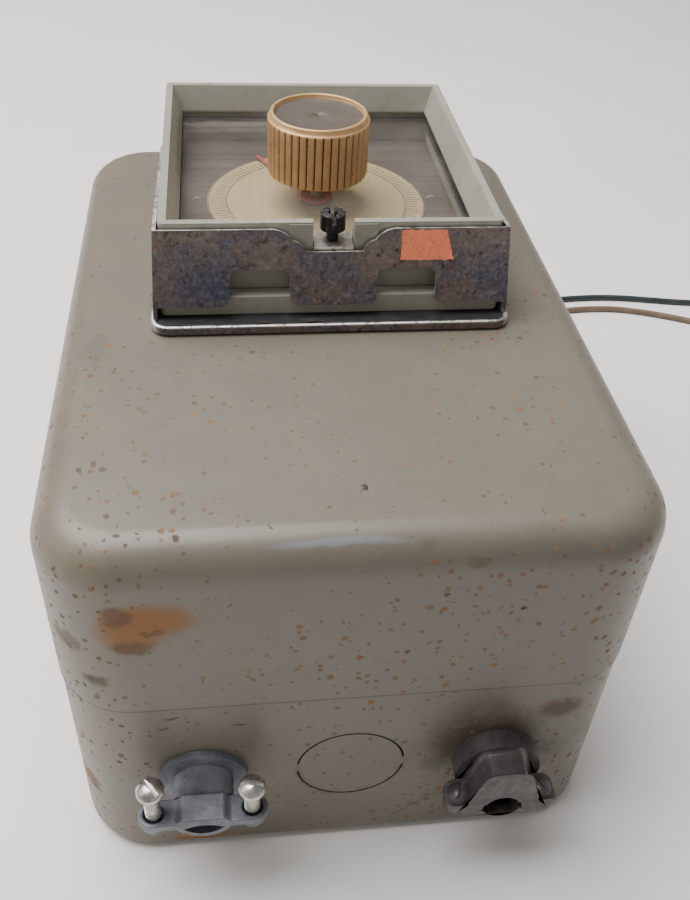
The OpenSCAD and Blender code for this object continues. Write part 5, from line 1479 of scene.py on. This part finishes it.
class TIMERBOX_OT_works(bpy.types.Operator):
    """Finishes the contacts, the chassis and the timing works"""
    bl_idname = "timerbox.works"
    bl_label = "Timing works"

    def execute(self, context):
        sizes = context.scene.timer_sizes
        fine = sizes.fine_softness
        pieces = (
            ("contact_block", phenolic, "enclosure", "contact_moulding", "phenolic"),
            ("contact_springs", contact_brass, "enclosure", "leaf_contacts", "contact_brass"),
            ("terminal_screws", contact_brass, "enclosure", "terminal_heads", "contact_brass"),
            ("inner_leads", tan_insulation, "enclosure", "inner_wires", "tan_insulation"),
            ("front_plate", chassis_aluminium, "timer_module", "front_deck", "chassis_aluminium"),
            ("gear_plate", chassis_aluminium, "timer_module", "gear_deck", "chassis_aluminium"),
            ("gear_bridge", chassis_aluminium, "timer_module", "gear_bridge_deck", "chassis_aluminium"),
            ("back_plate", phenolic, "timer_module", "back_deck", "phenolic"),
            ("chassis_posts", rubbed_steel, "timer_module", "deck_posts", "bright_steel"),
            ("contact_blades", contact_brass, "timer_module", "plug_blades", "contact_brass"),
            ("motor", motor_can, "timer_module", "motor_can", "motor_steel"),
            ("return_spring", blued_spring, "timer_module", "spiral_spring", "spring_steel"),
            ("clutch_coil", coil_varnish, "timer_module", "coil_bobbin", "coil_varnish"),
            ("snap_switches", switch_black, "timer_module", "switch_cases", "phenolic"),
            ("motor_pinion", contact_brass, "motor_pinion", "brass_pinion", "contact_brass"),
            ("idler_gear", contact_brass, "idler_gear", "brass_idler", "contact_brass"),
            ("timing_wheel", contact_brass, "timing_wheel", "brass_wheel", "contact_brass"),
            ("trip_lever", rubbed_steel, "trip_lever", "steel_lever", "bright_steel"),
        )
        for node, material, body, name, slot in pieces:
            refined(node, material, fine, body, name, slot)
        self.windings()
        self.deck_screws()
        return {"FINISHED"}

    def windings(self):
        """Enamelled wire round the clutch coil."""
        low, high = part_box("clutch_coil")
        centre = (low + high) / 2
        wire = 0.22 * MM
        layer = 19 * MM
        coil = grown("coil_wire", bpy.data.meshes.new("coil_wire"), winding_tree(once(strand_copper)),
                     {"Turns": layer / (2.2 * wire), "Radius": 9.5 * MM, "Height": layer, "Wire": wire,
                      "Steps": 28}, once(strand_copper), (centre.x, centre.y, low.z + 2.5 * MM))
        finish_piece(coil, "timer_module", "coil_varnish")

    def deck_screws(self):
        """Slotted screws over the posts on the front and back decks."""
        posts_low, posts_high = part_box("chassis_posts")
        post = 3 * MM
        across = posts_high.x - posts_low.x - 2 * post
        along = posts_high.y - posts_low.y - 2 * post
        centre = (posts_low + posts_high) / 2
        tree = corners_tree(once(screw_zinc))
        spots = (("front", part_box("front_plate")[1].z, 0), ("back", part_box("back_plate")[0].z, math.pi))
        for name, z, flip in spots:
            head = self.pan_head(2.6 * MM, 1.4 * MM, 0.7 * MM)
            screws = grown("deck_screws_" + name, head, tree, {"Across": across, "Along": along},
                           once(screw_zinc), (centre.x, centre.y, z), Matrix.Rotation(flip, 4, "X"))
            finish_piece(screws, "timer_module", "bright_steel")

    def pan_head(self, radius, tall, slot):
        """A domed screw head with a straight slot, standing on Z = 0."""
        steps, rings = 32, 6
        shape = bmesh.new()
        centre = shape.verts.new((0, 0, tall * 0.55))
        turns = [math.pi / 2 * k / rings for k in range(1, rings + 1)]
        levels = [(radius * math.sin(a), tall * (0.55 + 0.45 * math.cos(a))) for a in turns] + [(radius, 0)]
        loops = []
        for r, z in levels:
            loop = []
            for i in range(steps):
                angle = 2 * math.pi * i / steps
                x, y = r * math.cos(angle), r * math.sin(angle)
                low = abs(y) < slot / 2 + 0.01 * MM
                loop.append(shape.verts.new((x, y, min(z, tall * 0.55) if low else z)))
            loops.append(loop)
        for i in range(steps):
            shape.faces.new((centre, loops[0][i], loops[0][(i + 1) % steps]))
        for first, second in zip(loops, loops[1:]):
            for i in range(steps):
                shape.faces.new((first[i], second[i], second[(i + 1) % steps], first[(i + 1) % steps]))
        shape.faces.new(reversed(loops[-1]))
        return mesh_from(shape, "pan_head", False)


# ---------------------------------------------------------------- panel and run

STEPS = (TIMERBOX_OT_stage, TIMERBOX_OT_leads, TIMERBOX_OT_enclosure, TIMERBOX_OT_timer_frame,
         TIMERBOX_OT_bezel, TIMERBOX_OT_dial, TIMERBOX_OT_knob, TIMERBOX_OT_latch, TIMERBOX_OT_clamps,
         TIMERBOX_OT_works)


class TIMERBOX_PT_sidebar(bpy.types.Panel):
    """Lists the steps, colours and sizes"""
    bl_label = "Dial timer control box"
    bl_space_type = "VIEW_3D"
    bl_region_type = "UI"
    bl_category = "Timer box"

    def draw(self, context):
        layout = self.layout
        for step in STEPS:
            layout.operator(step.bl_idname)
        for group in (context.scene.timer_colours, context.scene.timer_sizes, context.scene.timer_view):
            column = layout.box().column()
            for name in group.bl_rna.properties.keys():
                if name not in ("rna_type", "name"):
                    column.prop(group, name)


CLASSES = (TimerColours, TimerSizes, TimerView, *STEPS, TIMERBOX_PT_sidebar)


def register():
    for item in CLASSES:
        bpy.utils.register_class(item)
    bpy.types.Scene.timer_colours = PointerProperty(type=TimerColours)
    bpy.types.Scene.timer_sizes = PointerProperty(type=TimerSizes)
    bpy.types.Scene.timer_view = PointerProperty(type=TimerView)


def unregister():
    del bpy.types.Scene.timer_view
    del bpy.types.Scene.timer_sizes
    del bpy.types.Scene.timer_colours
    for item in reversed(CLASSES):
        bpy.utils.unregister_class(item)


def main():
    register()
    for step in STEPS:
        area, name = step.bl_idname.split(".")
        getattr(getattr(bpy.ops, area), name)()


if __name__ == "__main__":
    main()
